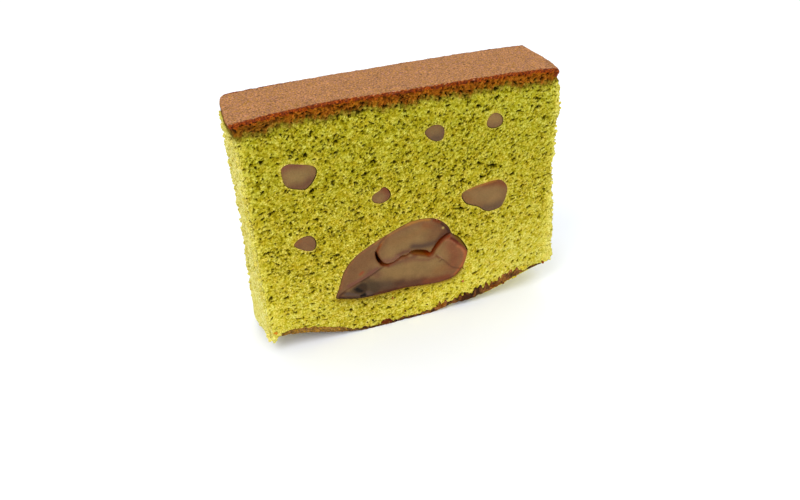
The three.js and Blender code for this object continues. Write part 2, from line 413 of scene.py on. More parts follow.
skinLook = {"fine": 0.42, "broad": 4, "reddish": 0.5, "fineDepth": 0.14}


def skinFinish():
    f = Finish("brownedSkin", Specular_IOR_Level=0.08)
    fine = f.pattern(skinLook["fine"], 2, 0.6)
    broad = f.pattern(skinLook["broad"], 3)
    reddish = f.pattern(skinLook["reddish"], 2, 0.6)
    tone = f.range(fine, 0.3, 1.7)
    tone = f.varied(f.painted()["Color"], tone, f.math("MULTIPLY", tone, f.range(reddish, 0.3, 1.6)))
    f.give("Base Color", f.varied(tone, f.range(broad, 0.94, 1.06)))
    f.give("Roughness", f.range(fine, 0.7, 0.85))
    f.give("Normal", f.bump(fine, skinLook["fineDepth"], 0.8))
    return f.material


chestnutLook = {"fine": 0.32, "broad": 2.2, "gloss": 3, "fineDepth": 0.04}


def chestnutFinish():
    f = Finish("candiedChestnut", Specular_IOR_Level=0.1, Subsurface_Weight=0.06, Subsurface_Scale=0.001)
    fine = f.pattern(chestnutLook["fine"], 3, 0.65)
    broad = f.pattern(chestnutLook["broad"], 3, 0.6)
    tone = f.varied(f.painted()["Color"], f.range(fine, 0.86, 1.14))
    f.give("Base Color", f.varied(tone, f.range(broad, 0.9, 1.1)))
    f.give("Roughness", f.range(f.pattern(chestnutLook["gloss"]), 0.36, 0.5))
    f.give("Normal", f.bump(fine, chestnutLook["fineDepth"], 0.5))
    return f.material


crumb = {
    "cells": (308, 38, 244),         # along the slice, through half its thickness, up
    "clear": 0.01,                   # how far it stays inside the frame's box
    "underSkin": 0.3,                # how far its top lies under the skin's
    "overCrust": 0.12,               # how far its underside lies over the bottom crust's
    # its torn left foot hangs lower: from and to along the slice, and by how much from front to back
    "hangs": (-37.9, -38.8), "hang": [(0, 0.9), (0.25, 1), (0.5, 2), (0.75, 2.7), (0.9, 2.2), (1, 1.2)],
    "lean": 15,                      # the pores' long side rises to the right
    "seed": 5,
    # granules: size, the seed's offset, depth between them
    "granules": [(0.95, 0, 0.3), (0.65, 20, 0.24)],
    # pores: size, the seed's offset, how drawn out, how ragged, how they gather, and from where on, how
    # deep and how steeply they go in
    "pores": [
        (0.8, 11, 1.4, 0, 0.15, 1.7, 0.5, 0.7),
        (1.25, 3, 1.5, 0.35, 0.15, 1.65, 0.85, 0.7),
        (2.2, 4, 1.7, 0.35, 0.1, 1.95, 0.85, 0.6),
    ],
    "deepest": 1.4, "deepestEnd": 1.2,
    # where it is paler or softer: across which way, from, to, the tint of its colours, how much softer
    # the tints are painted: shade above, there partly its own greener colour, and light low and at the ends
    "bands": [
        ("z", 24, 58, (0.855, 0.915, 0.83), 0), ("z", 28, 6, (1.13, 1.15, 1.5), 0.3),
        ("x", -33, -38.8, (1.06, 1.07, 1.08), 0.25), ("x", 16, 34, (1.01, 1.03, 1.15), 0.25),
    ],
    # and spots of the same, painted light: x, z, how much wider than high, from and to this far away, tint,
    # how much softer
    "spots": [
        (-38, 6, 1.3, 22, 3, (1.04, 1.06, 1.1), 0.25), (33, 13, 1.4, 22, 4, (1.01, 1.02, 1.1), 0.4),
        (12, 4, 2.4, 10, 4, (1.07, 1.07, 1.02), 0.3),
    ],
    # colours by how deep a place lies in the crumb, darker deeper in: painted shade, also in the palettes
    # below
    "palette": [(0, "#C5B946"), (0.12, "#AE9E1B"), (0.35, "#7B6C02"), (0.55, "#453B00"), (1, "#181300")],
    "litPalette": [(0, "#D8CE52"), (0.3, "#C2B434"), (0.8, "#8E821A"), (1.3, "#5C5208")],
    "endLightPalette": [(0, "#DCD57E"), (0.3, "#CEC560"), (0.8, "#9E942A"), (1.3, "#665C10")],
    "redPalette": [(0, "#9E4610"), (0.3, "#7A3208"), (0.9, "#361402")],
    "brownPalette": [
        (0, "#985B10"), (0.12, "#7A420B"), (0.4, "#4E2806"), (0.7, "#2C1604"), (1.1, "#180A02"),
    ],
    "dullPalette": [(0, "#8A7C24"), (0.15, "#706016"), (0.4, "#50440C"), (0.8, "#2C2405")],
    # how far below the top each colour starts and is full
    "dullBelow": (5, 3.4), "brownBelow": (3.9, 2.1), "redBelow": (1.4, 0.5),
    "cornerTint": (0.72, 0.84, 1),   # the browned crumb's at the left
    "pocket": "#6A4520", "stain": "#A86A28", "underNutTint": (0.66, 0.76, 0.92),
    "crease": 1.3,                   # a sharper turn than this, in radians, shows as an edge
}


# How deep the crumb's crevices and pores go in from a cut face, from nothing on top of its granules,
# and where it is more open: pores lie closer together there.
def crumbRelief(shape, cell, seed, lean):
    loose = grain(shape, cell, 7, seed + 9, 1.3, lean)
    ragged = grain(shape, cell, 0.75, seed + 6)
    depth = 0.05 * np.abs(grain(shape, cell, 1.6, seed + 5, 1.2, lean))
    depth += 0.02 * grain(shape, cell, 3.5, seed + 2, 1.2, lean) - 0.05
    for size, own, deep in crumb["granules"]:
        depth += deep * granules(shape, cell, size, seed + own) ** 2
    for size, own, drawn, poreTearAndEndLight, gathered, start, deep, power in crumb["pores"]:
        pores = grain(shape, cell, size, seed + own, drawn, lean) + poreTearAndEndLight * ragged + gathered * loose
        depth += deep * np.clip(pores - start, 0, 1) ** power
    return np.clip(depth, 0, crumb["deepest"]), loose


# Where the crumb is tinted with painted light and shade, and where it is softer: a share, the tint of its
# colours and how much softer it is.
def softPlaces(x, z):
    for across, start, end, tint, soft in crumb["bands"]:
        yield smooth(x if across == "x" else z, start, end), tint, soft
    for spotX, spotZ, wide, start, end, tint, soft in crumb["spots"]:
        yield smooth(np.hypot((x - spotX) / wide, z - spotZ), start, end), tint, soft


def crumbStrength(x, z):
    return np.clip(1 - sum(share * soft for share, tint, soft in softPlaces(x, z)), 0.25, 1)


# Colours, and how strong the dark specks are: darker deeper in, as painted shade; greener and darker above,
# as its own colour and painted shade; paler low and at the ends, as painted light; browned under the skin.
def crumbColours(deep, x, z, below, poreTearAndEndLight=0, stain=0):
    wander = 0.35 * np.sin(x * 0.9) + 0.3 * np.sin(x * 0.37 + 2) + 0.2 * np.sin(x * 2.3 + 1)
    colour = shade(deep, crumb["palette"])
    for share, tint, soft in softPlaces(x, z):
        colour = colour * mix(np.ones(3), np.array(tint), share)
    # painted light on both ends, more on the left
    lit = 0.8 * smooth(x, -37.4, -39.6) + 0.6 * smooth(x, 38.4, 40.8)
    colour = mix(colour, shade(deep, crumb["litPalette"]), lit)
    # painted light: the ends and the cut face's edges next to them are paler
    poreTearAndEndLight = np.clip(poreTearAndEndLight + 0 * x, 0, 1)
    colour = mix(colour, shade(deep, crumb["endLightPalette"]), poreTearAndEndLight)
    colour = mix(colour, paint(crumb["stain"]), stain + 0 * x)
    below = below + 0.5 * np.sin(x * 2.9 + z * 1.3) * np.sin(z * 3.1 - x * 1.7)
    plain = 1 - 0.6 * poreTearAndEndLight
    dull, brown = (smooth(below - wander, *crumb[name]) * plain for name in ("dullBelow", "brownBelow"))
    colour = mix(colour, shade(deep, crumb["dullPalette"]), dull)
    corner = smooth(x, -26, -30) * smooth(below, 0.9, 1.5)
    browned = shade(1.4 * deep - 0.05, crumb["brownPalette"])
    browned = browned * mix(np.ones(3), np.array(crumb["cornerTint"]), corner)
    colour = mix(colour, browned, brown)
    colour = mix(colour, shade(deep, crumb["redPalette"]), smooth(below, *crumb["redBelow"]))
    strength = 0.88 * crumbStrength(x, z) * (1 - poreTearAndEndLight)
    return np.concatenate([colour, strength[..., None]], -1)


# The crumb is darker and browner in a band under the large chestnut, fading away from it.
def underNutDarkening(x, z, away):
    share = np.exp(-away / between(1.5, 0.9, smooth(x, -6, 6)))
    share = share * smooth(z, 14, 12) * smooth(np.abs(x + 3), 20, 17)
    return 1 - share[..., None] * np.array(crumb["underNutTint"])


# Places up the sponge, from its underside to just under the skin.
def spongeHeights(x, depth):
    top = topHeight(x, depth) - crumb["underSkin"]
    hanging = valueAt(depth, crumb["hang"]) * smooth(x, *crumb["hangs"])
    low = underside(x) + crumb["overCrust"] - hanging
    return between(low[..., None], top[..., None], np.linspace(0, 1, crumb["cells"][2] + 1))


# The faces of half the sponge: a cut face, both ends, long faces over and under it, and the inner wall.
def halfFaces(face, left, right, low, high):
    low = np.concatenate([left[-1:, 0], low, right[-1:, 0]])
    high = np.concatenate([left[-1:, -1], high, right[-1:, -1]])
    return [
        gridFaces(face), gridFaces(left, True), gridFaces(right),
        quads(face[1:-2, -1], face[2:-1, -1], high[2:-1], high[1:-2]),
        quads(face[1:-2, 0], low[1:-2], low[2:-1], face[2:-1, 0]),
        oneFace(face[1, -1], high[1], left[::-1, -1]),
        oneFace(high[-2], face[-2, -1], right[:, -1]),
        oneFace(low[1], face[1, 0], left[:, 0]),
        oneFace(face[-2, 0], low[-2], right[::-1, 0]),
        quads(right[-1, 1:-2], left[-1, 1:-2], left[-1, 2:-1], right[-1, 2:-1]),
        oneFace(left[-1, 1], right[-1, 1], low[::-1]),
        oneFace(right[-1, -2], left[-1, -2], high),
    ]


# Half of the sponge, from one cut face to the middle of the thickness.
def crumbHalf(name, isBack, endReliefs):
    nx, ny, nz = crumb["cells"]
    faceSide = 1 if isBack else 0
    inward = -1 if isBack else 1
    depths = between(faceSide, 0.5, np.linspace(0, 1, ny + 1))
    seed = crumb["seed"] + 40 * faceSide
    deep, loose = crumbRelief((nx + 1, nz + 1), topLength / nx, seed, inward * crumb["lean"])
    reliefs = [endReliefs[side][faceSide] for side in crustEnds]
    ends = []
    for side, sign, relief in zip(crustEnds, (1, -1), reliefs):
        z = spongeHeights(cake[side + "End"], depths)
        x = endPlaces(depths[:, None], z, side) + sign * relief
        y = backFace(cake[side + "End"]) * depths[:, None]
        ends.append(places(np.maximum(x, cadLow[0] + crumb["clear"]), y, z))
    share = np.linspace(0, 1, nx + 1)[:, None]
    evenly = np.linspace(cake["leftEnd"], cake["rightEnd"], nx + 1)
    faceX, innerX = (between(ends[0][row, :, 0], ends[1][row, :, 0], share) for row in (0, -1))
    faceZ, innerZ = (spongeHeights(evenly, depth) for depth in (faceSide, 0.5))
    away = toChestnuts(faceX, faceZ, faceSide)
    deep = deep * between(0.45, 1, crumbStrength(evenly[:, None], faceZ))
    deep = deep * between(0.1, 1, smooth(away, 0.1, 0.9))
    thick = backFace(evenly)[:, None]
    cut = places(faceX, thick * faceSide + inward * deep, faceZ)
    inner = places(innerX, thick / 2, innerZ)
    parts = [cut, ends[0][1:], ends[1][1:], inner[1:-1, 0], inner[1:-1, -1]]
    parts = [part.reshape(-1, 3) for part in parts]
    counts = np.cumsum([0] + [len(part) for part in parts])
    ids = [np.arange(start, end) for start, end in zip(counts, counts[1:])]
    face = ids[0].reshape(nx + 1, nz + 1)
    left = np.concatenate([face[:1], ids[1].reshape(ny, nz + 1)])
    right = np.concatenate([face[-1:], ids[2].reshape(ny, nz + 1)])
    faces = [turned(f, isBack) for f in halfFaces(face, left, right, ids[3], ids[4])]

    def forParts(*values):               # one value for each point, from an array or a number for each part
        return np.concatenate([np.broadcast_to(np.ravel(value), len(at)) for value, at in zip(values, ids)])

    points = np.concatenate(parts)
    x, z = points[:, 0], points[:, 2]
    below = topHeight(x, faceSide) - z
    depthIn = forParts(deep, 1.1 * reliefs[0][1:], 1.1 * reliefs[1][1:], 0, 0)
    # the ends, and the cut face next to them, are painted paler: painted light from the side; their dark
    # specks are weaker
    poreTearAndEndLight = 0.4 * smooth(faceX, -38.9, -39.9) + 0.3 * smooth(faceX, 39.8, 41)
    poreTearAndEndLight = forParts(poreTearAndEndLight, 0.9, 0.6, 0, 0) * smooth(below, 3, 5)
    stain = forParts(0.3 * fade(away, 0.4), 0, 0, 0, 0)
    colours = crumbColours(depthIn, x, z, below, poreTearAndEndLight, stain)
    colours[ids[0], :3] *= underNutDarkening(faceX, faceZ, away).reshape(-1, 3)
    colours[ids[0], 3] *= np.clip(1 + 0.12 * loose.ravel(), 0.5, 1.3)
    return addPiece(name, points, faces, colours)


# How far places on a cut face lie from the nearest chestnut's outline, as far as it matters.
def toChestnuts(x, z, share):
    away = np.full(x.size, 9.0)
    spots = np.stack([x.ravel(), z.ravel()], -1)
    for shape in chestnuts.values():
        outline = np.stack(carried(softLine(shape["skin"], shape["sides"], True), shape, share), -1)
        near = np.all((spots > outline.min(0) - 3) & (spots < outline.max(0) + 3), axis=1)
        away[near] = np.minimum(away[near], toLine(spots[near], outline, True))
    return away.reshape(x.shape)


# Tips: how far the skin reaches at these shares of the way through. Nose: below the top, in from the tip.
# Far edge: from and to these shares of the way through. Waves: how far the end stands out there, by height.
crustEnds = {
    "left": {
        "tips": [(0, -40.2), (0.06, -40.5), (0.3, -40.5), (0.6, -40.3), (0.85, -40), (1, -39.8)],
        "nose": [(0, 0.35), (0.2, 0.1), (0.55, 0), (0.85, 0.08), (1.1, 0.3)],
        "shelf": 0.35, "under": (1.9, 0.9), "undercut": 0, "round": (0.3, 4.2), "squash": 0.45,
        "farEdge": (0.4, 1),
        "waves": [
            (2, -0.55), (4.5, -0.35), (8.5, 0.25), (11, 0.15), (14, 0.05), (18.5, 0.15), (21.5, -0.4),
            (32, -0.45), (42, -0.6), (50, -0.45), (54, -0.2), (62, -0.5),
        ],
    },
    "right": {
        "tips": [(0, 40.45), (0.08, 41.2), (0.25, 41.75), (0.5, 41.9), (1, 41.8)],
        "nose": [(0, 0.7), (0.35, 0.24), (0.95, 0), (1.6, 0.12), (2.2, 0.55)],
        "shelf": 0.5, "under": (3.4, 2.2), "undercut": 0.35, "round": (0.3, 0.8), "squash": 1,
        "farEdge": (0.6, 0),
        "waves": [
            (8, 0.6), (11, 0.9), (13.5, 0.2), (15.5, 0.5), (18, 0.9), (20.5, 0.6), (24, 0.4), (27, 0.45),
            (30, 0.1), (34, -0.2), (38, -0.5), (41, 0.1), (50, 0.1), (52, 0.6), (54.5, 1), (57, 0.5),
            (61, 0.5),
        ],
    },
}


# How far a rounded upright corner draws in at a place "away" from it.
def cornerIn(away, radius):
    return radius - np.sqrt(radius ** 2 - np.clip(radius - away, 0, radius) ** 2)


def skinTip(side, depth):
    front, back = crustEnds[side]["round"]
    drawn = cornerIn(depth * cake["thickLeft"], front) + cornerIn((1 - depth) * cake["thickLeft"], back)
    inward = 1 if side == "left" else -1
    return valueAt(depth, crustEnds[side]["tips"]) + inward * drawn * crustEnds[side]["squash"]


# The sponge's ends: inside the skin's nose, drawn in below it, then the plain end.
def endPlaces(depth, z, side):
    end = crustEnds[side]
    inward = 1 if side == "left" else -1
    plain = leftEnd(depth, z) if side == "left" else rightEnd(depth, z)
    plain = plain - inward * valueAt(z, end["waves"]) * smooth(depth, *end["farEdge"])
    below = topHeight(cake[side + "End"], depth) - z
    drawnIn = plain + inward * end["undercut"] * smooth(below, 5.2, 3.6)
    shelf = skinTip(side, depth) + 0 * plain + inward * end["shelf"]
    return between(drawnIn, shelf, smooth(below, *end["under"]))


def endRelief(ny, nz, seed):
    shape = (2 * ny + 1, nz + 1)
    cell = topLength / crumb["cells"][0]
    lumps = grain(shape, cell, 2.6, seed) * 0.12
    knobs = granules(shape, cell, 1.1, seed + 1) ** 2 * 0.42
    fine = granules(shape, cell, 0.7, seed + 2) ** 2 * 0.3
    return np.clip(lumps + knobs + fine + 0.02, 0.02, crumb["deepestEnd"])


def addCrumb(material, cutter):
    nx, ny, nz = crumb["cells"]
    reliefs = {}
    for n, side in enumerate(crustEnds):
        whole = endRelief(ny, nz, crumb["seed"] + 10 + 5 * n)
        reliefs[side] = (whole[:ny + 1], whole[:ny - 1:-1])
    for name, isBack in (("crumbFront", False), ("crumbBack", True)):
        piece = crumbHalf(name, isBack, reliefs)
        piece.data.materials.append(material)
        cutOut(piece, cutter)
        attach(piece, "root")
        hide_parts("sponge")
        print(name, len(piece.data.loop_triangles), "triangles")


# Cuts the pockets out and colours what the cut adds by how far it lies from the cut faces: darker deeper in,
# as painted shade, turning to the pocket colour further in.
def cutOut(piece, cutter):
    modifier = piece.modifiers.new("pockets", "BOOLEAN")
    modifier.solver = "MANIFOLD"
    modifier.operation = "DIFFERENCE"
    modifier.object = cutter
    deps = bpy.context.evaluated_depsgraph_get()
    cut = bpy.data.meshes.new_from_object(piece.evaluated_get(deps))
    piece.modifiers.clear()
    old = piece.data
    piece.data = cut
    bpy.data.meshes.remove(old)
    cut.name = piece.name
    layer = cut.color_attributes["colour"].data
    colours = np.empty(len(cut.vertices) * 4)
    layer.foreach_get("color", colours)
    colours = colours.reshape(-1, 4)
    at = np.empty(len(cut.vertices) * 3)
    cut.vertices.foreach_get("co", at)
    x, y, z = toSlice(at.reshape(-1, 3)).T
    added = colours[:, :3].min(1) > 0.999            # the cut leaves what it adds white
    deep = np.minimum(y, backFace(x) - y)
    fresh = crumbColours(0.35 * deep, x, z, topHeight(x, 0) - z)
    fresh[:, :3] = mix(fresh[:, :3] * underNutDarkening(x, z, 0.15), paint(crumb["pocket"]), smooth(deep, 0.3, 1))
    colours[added] = fresh[added]
    layer.foreach_set("color", colours.ravel())
    cut.set_sharp_from_angle(angle=crumb["crease"])
    cut.calc_loop_triangles()


# Zones: a line of places on the cut face, how far the zone reaches from it, its colour and its share.
chestnuts = {
    "chestnut_large": {
        "skin": [
            (11.4, 25), (10.9, 26.3), (9.3, 28.3), (7.6, 29.7), (5, 30.5), (0.4, 30.5), (-5.3, 28.6),
            (-10.8, 26.2), (-14.8, 23.9), (-17.8, 20.6), (-19.7, 15.8), (-20.8, 12.7), (-19.2, 12),
            (-14.7, 10.8), (-7.7, 10.5), (-2, 10.6), (3.8, 9.9), (8.6, 9.6), (12.5, 10.3),
            (14.7, 12.5), (15.8, 15), (16.3, 17.7), (15.6, 19.6), (14.8, 21), (13.9, 22.4),
            (12.7, 23.4), (11.6, 24.5),
        ],
        # the fold, from its mouth to its blind end: x, z, half of the gap
        "fold": [
            (10.5, 24.2, 0.4), (8.7, 22.95, 0.5), (7.3, 21.35, 0.5), (5.7, 19.2, 0.6), (4, 20.1, 0.85),
            (1.2, 21, 0.8), (0.3, 21.2, 0.4), (-0.3, 21, 0.12), (-1.1, 20.6, 0.2), (-2.3, 20.6, 0.24),
            (-3.2, 20.2, 0.08), (-4.6, 19.5, 0.05), (-6.3, 19.2, 0.22), (-7.6, 19.6, 0.42),
            (-8.8, 21.5, 0.46), (-9.2, 23.2, 0.36), (-9.3, 24.1, 0.1),
        ],
        "gap": [(9.6, 28.6), (11.6, 25.2), (14.8, 21.8), (16.4, 18.2)],      # syrup has run out from here
        # its lower wall's painted light along the slice, darker at its ends; the upper wall is painted shade
        "foldTones": [
            (-9, "#4A1A08"), (-7, "#8A4010"), (-1, "#9A5828"), (1, "#B46C2C"), (4, "#A0580E"),
            (5.8, "#A03400"), (8, "#A03A00"), (10, "#5A1C08"),
        ],
        "creases": [
            [(-7.4, 19), (-10.1, 17.7), (-12.9, 16.4), (-15.5, 15.4), (-18.2, 14.3), (-20.4, 12.8)],
            [(7.2, 18.8), (9.1, 16.8), (12, 13.5), (14.6, 12.4)],
            [(-8.9, 24.4), (-8.2, 26.3), (-6.4, 28)],
        ],
        "zones": [
            ([(-17.5, 17), (-15, 21), (-10.8, 23)], 3.2, "#7F5A3E", 1),
            ([(-9.4, 16.8), (-11.2, 18.4)], 1.5, "#75503F", 0.8),
            ([(-5, 26), (0, 26.4), (3.6, 27.6)], 1.4, "#8B6642", 0.7),
            ([(4.2, 28.8), (6.2, 28)], 1.1, "#8E5836", 0.8),
            ([(8.6, 28), (9.6, 25.8)], 1.9, "#704A32", 0.95),
            ([(5.8, 24.8), (7.4, 26.8)], 1.8, "#7A5338", 0.8),
            # the next four darken the lobe just above the fold: painted shade where it rounds down into it
            ([(7.4, 22.9), (8.9, 24.5), (10.3, 25.3)], 1, "#5E3A28", 1),
            ([(0.8, 23.2), (3.2, 22.6), (6.2, 22.6)], 1.1, "#5E463A", 1),
            ([(-3.4, 21.5), (-2, 22), (-0.4, 22)], 0.8, "#6A4236", 0.9),
            ([(-7.4, 20.6), (-5.2, 20.3), (-3.6, 20.9)], 0.9, "#80564A", 0.85),
            ([(-8, 24.8), (-6.8, 26.6)], 0.8, "#82583A", 0.6),
            ([(11.8, 20.8), (12.8, 17.5), (12, 14.2)], 2.6, "#875339", 1),
            ([(-1.4, 18.8), (0.6, 19), (2.8, 18.4), (5, 17.8), (6.6, 18.2)], 0.6, "#7E5440", 0.7),
            ([(-3, 11.2), (1, 11.6), (3.6, 11.7)], 0.7, "#703822", 0.75),
            ([(9, 14), (7, 13.4)], 1.4, "#8A5E3A", 0.6),
            ([(-11, 11.6), (-4.5, 12), (1, 11.5), (3.4, 11.2)], 1.7, "#623E2E", 1),
            ([(4, 10.8), (10.5, 10.8)], 1.2, "#7A422B", 1),
            ([(-14, 10.9), (-6, 10.8), (2, 10.4)], 0.4, "#5C2A12", 0.85),
            ([(-17.4, 15.5), (-13, 17.1), (-9.4, 18.9)], 0.6, "#7C4E46", 0.9),
            # painted shade along the left crease
            ([(-13.8, 15.9), (-11.4, 17), (-8.4, 18.6)], 0.22, "#4C2A1A", 0.7),
            ([(-6, 18.7), (-3, 19.3), (-0.6, 19.8), (1.4, 19.8)], 0.6, "#70483A", 0.8),
            ([(-9.4, 13.6), (-6.6, 12.9)], 1.9, "#584436", 0.9),
            ([(-4.4, 12.8), (-2.6, 13)], 0.9, "#553628", 0.7),
            ([(-12.8, 14.4), (-11.6, 13.6)], 0.5, "#6A5A4C", 0.8),
            ([(-14, 18.3), (-13.3, 18.8)], 0.4, "#A4482C", 0.8),
            # its rim, from the left tip over the top to the right and back below
            ([(-20, 13.3), (-18.4, 13.6)], 0.5, "#4C3426", 0.9),
            ([(-19.6, 15.4), (-18.4, 19), (-16.6, 22), (-14.2, 24.2), (-9.4, 26.7)], 0.4, "#906040", 0.8),
            ([(-9.4, 26.8), (-5, 28.6), (-1, 29.9), (0.7, 30.3), (3.7, 30.5), (5.6, 30.1)],
             0.45, "#A0703A", 0.75),
            ([(-0.6, 30.1), (0.7, 30.4), (2, 30.5), (3.7, 30.6), (5.2, 30.3)], 0.4, "#B88038", 0.8),
            ([(6.8, 29.7), (8.3, 28.8)], 0.5, "#783400", 0.9),
            ([(8.8, 28.2), (10.4, 26.2), (11, 25.2)], 0.35, "#3E1810", 0.9),
            # painted shade along the fold's upper lip near its mouth
            ([(7.5, 22.3), (9.1, 23.8), (10.8, 24.8)], 0.25, "#46241A", 0.8),
            ([(10.8, 25.4), (11.2, 25.8)], 0.4, "#3A1E0E", 0.8),
            ([(7.3, 21), (8.5, 22.2), (9.8, 23.3), (11, 23.7)], 0.4, "#8C3300", 0.95),
            ([(11.4, 22.8), (12.3, 22), (13.1, 21.3), (14.2, 20.1), (15.1, 18.9), (15.9, 17.6)],
             0.35, "#742200", 0.9),
            # the next three: painted highlight and sheen on the glossy rim of the right lobe
            ([(13.4, 20), (14.4, 19.3), (15.3, 17.9), (15.5, 16.4)], 0.4, "#B26C4A", 0.8),
            ([(10.2, 22.6), (11.6, 22.3), (12.5, 21.1)], 0.22, "#A26450", 0.6),
            ([(15.8, 17.4), (15.5, 15.2), (14.4, 12.9), (12.7, 11)], 0.55, "#AC6238", 0.9),
            ([(-20.2, 12.6), (-18.1, 12), (-16.2, 11.4), (-13.6, 10.9), (-11, 10.8)], 0.35, "#2E1410", 0.95),
            ([(-9.6, 11), (-6.4, 11), (-4.4, 11.1)], 0.4, "#50240F", 0.8),
            ([(-20.4, 13), (-19.6, 16), (-17.6, 20.8), (-14.6, 24)], 0.25, "#805634", 0.7),
            ([(-8, 10.5), (-2, 10.6), (3.8, 9.9), (8.6, 9.6), (12.4, 10.3), (14.4, 12.2)],
             0.3, "#5A2210", 0.8),
            # small marks by the folds
            ([(7.6, 18.5), (8.5, 17.7), (9.1, 17.1)], 0.2, "#B48466", 0.9),
            ([(7.2, 18.4), (8, 17.5)], 0.2, "#6E3420", 0.8),
            ([(8, 16.5), (8.8, 16.8)], 0.18, "#5E3426", 0.8),
            ([(9.2, 26.8), (9.3, 26.7)], 0.26, "#D6BC74", 0.95),
            ([(-9, 23.9), (-8.8, 24.8), (-7.9, 25.9)], 0.35, "#8C3E00", 0.9),
            ([(-8, 25.8), (-7, 27.2), (-5.4, 28.4)], 0.3, "#9A6438", 0.5),
            ([(-8.2, 19.8), (-7.4, 19.2), (-6.3, 18.9)], 0.4, "#702600", 0.95),
            ([(-5.6, 19), (-3, 20.1), (-0.8, 20.1)], 0.25, "#6E3A1E", 0.7),
            ([(-16.8, 14.9), (-14.4, 16)], 0.3, "#7E4636", 0.7),
            ([(-10.8, 17.5), (-8.4, 18.9)], 0.25, "#84604E", 0.6),
            ([(5.2, 18.8), (6.2, 19.2)], 0.3, "#6E2400", 0.8),
            # painted shade at the fold's mouth
            ([(9.7, 24), (10.9, 24.7)], 0.35, "#2A0800", 0.95),
            # painted shade along the left crease
            ([(-13.8, 15.9), (-11.9, 16.7)], 0.25, "#3E2416", 0.85),
            ([(11.6, 23), (12.6, 22.2), (13.4, 21.4)], 0.35, "#521A00", 0.9),
        ],
        # patches: a closed outline, how soft its edge is, its colour, its share and how far it lies in
        "patches": [
            ([(-18.8, 12.9), (-16.1, 14.9), (-13.2, 16.2), (-11.6, 16.6), (-10.3, 15.6), (-9.5, 13.6),
              (-10, 11.6), (-13.7, 10.8), (-18.4, 12.3)], 0.7, "#56422F", 0.85, 0.04),
            ([(-16.3, 14.3), (-13.9, 15.5), (-12.6, 15), (-12.2, 13.8), (-12.5, 12.6), (-13, 11.4),
              (-14.1, 12.1), (-16, 12.8)], 0.5, "#38261A", 0.85, 0.05),
            ([(-12, 15.2), (-9.6, 14.6), (-8.6, 12.8), (-9.6, 11.2), (-11.6, 11.2), (-12, 13)],
             0.6, "#4A3A2C", 0.75, 0.02),
            ([(-15.9, 14), (-15, 14.3), (-14.3, 13.6), (-13.4, 12.9), (-14, 12.3), (-14.9, 12.6),
              (-15.5, 13.2)], 0.25, "#1C1004", 0.95, 0.2),
            ([(-14.6, 11.7), (-13.1, 12), (-12.4, 10.9), (-14.5, 11)], 0.2, "#160C04", 1, 0.15),
            ([(-12.9, 12.6), (-11.7, 12.3), (-10.8, 11.4), (-11.6, 10.9), (-12.8, 11.1)],
             0.3, "#5E4A44", 0.8, 0),
            ([(-18.7, 13.4), (-17.7, 13.6), (-16.1, 12.8), (-14.8, 12), (-14.8, 11.6), (-16.5, 12.1),
              (-18.8, 12.8)], 0.2, "#5E4A46", 0.9, 0),
            # painted shade: coloured as the shaded crumb in the gap beside it, and lying further in
            ([(11.9, 24.3), (12.2, 23.5), (12.8, 22.7), (13.6, 21.5), (14.5, 20.3), (15.6, 19),
              (16.2, 17.8), (16.7, 18.2), (15.9, 20.2), (15, 21.8), (13.4, 23.8), (11.9, 25)],
             0.2, "#705000", 0.95, 0.25),
        ],
        "flesh": [(0, "#6A4434"), (0.3, "#754E3E"), (1, "#845F44"), (2.2, "#8D6D4A"), (5, "#91724D")],
        "rimTint": (0.2, "#68403A", 0),
        "back": 0.9, "middle": 0.06, "shift": (-2.2, 1.2), "turn": 7, "sides": 300, "step": 0.3,
    },
    "chestnut_left": {
        "skin": [
            (-30.5, 51.3), (-30.2, 52.3), (-29.3, 52.8), (-28.3, 52.9), (-26.6, 52.5), (-24.5, 52),
            (-23.1, 51.4), (-22.4, 50.4), (-22.5, 49.3), (-23.2, 47.9), (-24.2, 46.7), (-25.5, 45.9),
            (-27.4, 46.3), (-28.8, 46.8), (-30, 47.9), (-30.4, 49.6),
        ],
        "zones": [
            ([(-28, 49.6), (-25.4, 49.2)], 2, "#8E744D", 0.8),
            ([(-30, 52.2), (-28, 52.8), (-25.6, 52.4)], 1.1, "#7C4D3E", 0.9),
            ([(-28, 46.6), (-25.8, 46.4), (-24, 47.8)], 1.3, "#6E4A38", 0.9),
        ],
        "back": 0.75, "middle": 0.18, "shift": (1.6, -1.4), "turn": -12, "sides": 90, "step": 0.28,
    },
    "chestnut_right": {
        "skin": [
            (14.7, 35), (15.1, 36), (18.1, 37), (21.1, 37.4), (23.8, 37.6), (25.6, 37.3), (27, 36),
            (27.6, 34.5), (27.4, 32.7), (26.7, 30.6), (25.8, 29.3), (24.4, 28.9), (22.5, 28.8), (21, 29.4),
            (19.3, 30.9), (17.5, 31.7), (15.9, 32.7),
        ],
        "zones": [
            ([(21, 37.2), (24.6, 37), (26.6, 36)], 1.2, "#7A4426", 0.9),
            ([(16.4, 36.6), (20.4, 37.2), (24, 37.6)], 0.45, "#B47634", 0.7),
            ([(21, 30), (23.2, 29.6), (25.6, 30.2)], 1.3, "#69503F", 0.9),
            ([(15, 34.6), (16.6, 33.6)], 1.3, "#8A6038", 0.6),
        ],
        "back": 0.82, "middle": 0.12, "shift": (-1.8, -1.2), "turn": 10, "sides": 130, "step": 0.28,
    },
    "chestnut_centre": {
        "skin": [
            (-9.4, 39.5), (-9, 40.5), (-7.4, 41.3), (-6.3, 42), (-5.4, 41.4), (-4.7, 39.9), (-5, 38.8),
            (-6.1, 38.1), (-7.4, 37.9), (-8.9, 38.5),
        ],
        "zones": [
            ([(-6.2, 41.9), (-5.2, 40.8)], 1.1, "#7E432A", 0.95),
            ([(-5, 39.8), (-5.6, 38.6)], 0.8, "#7B4E3A", 0.8),
        ],
        "back": 1.15, "middle": 0.25, "shift": (1.2, 0.8), "turn": 20,
    },
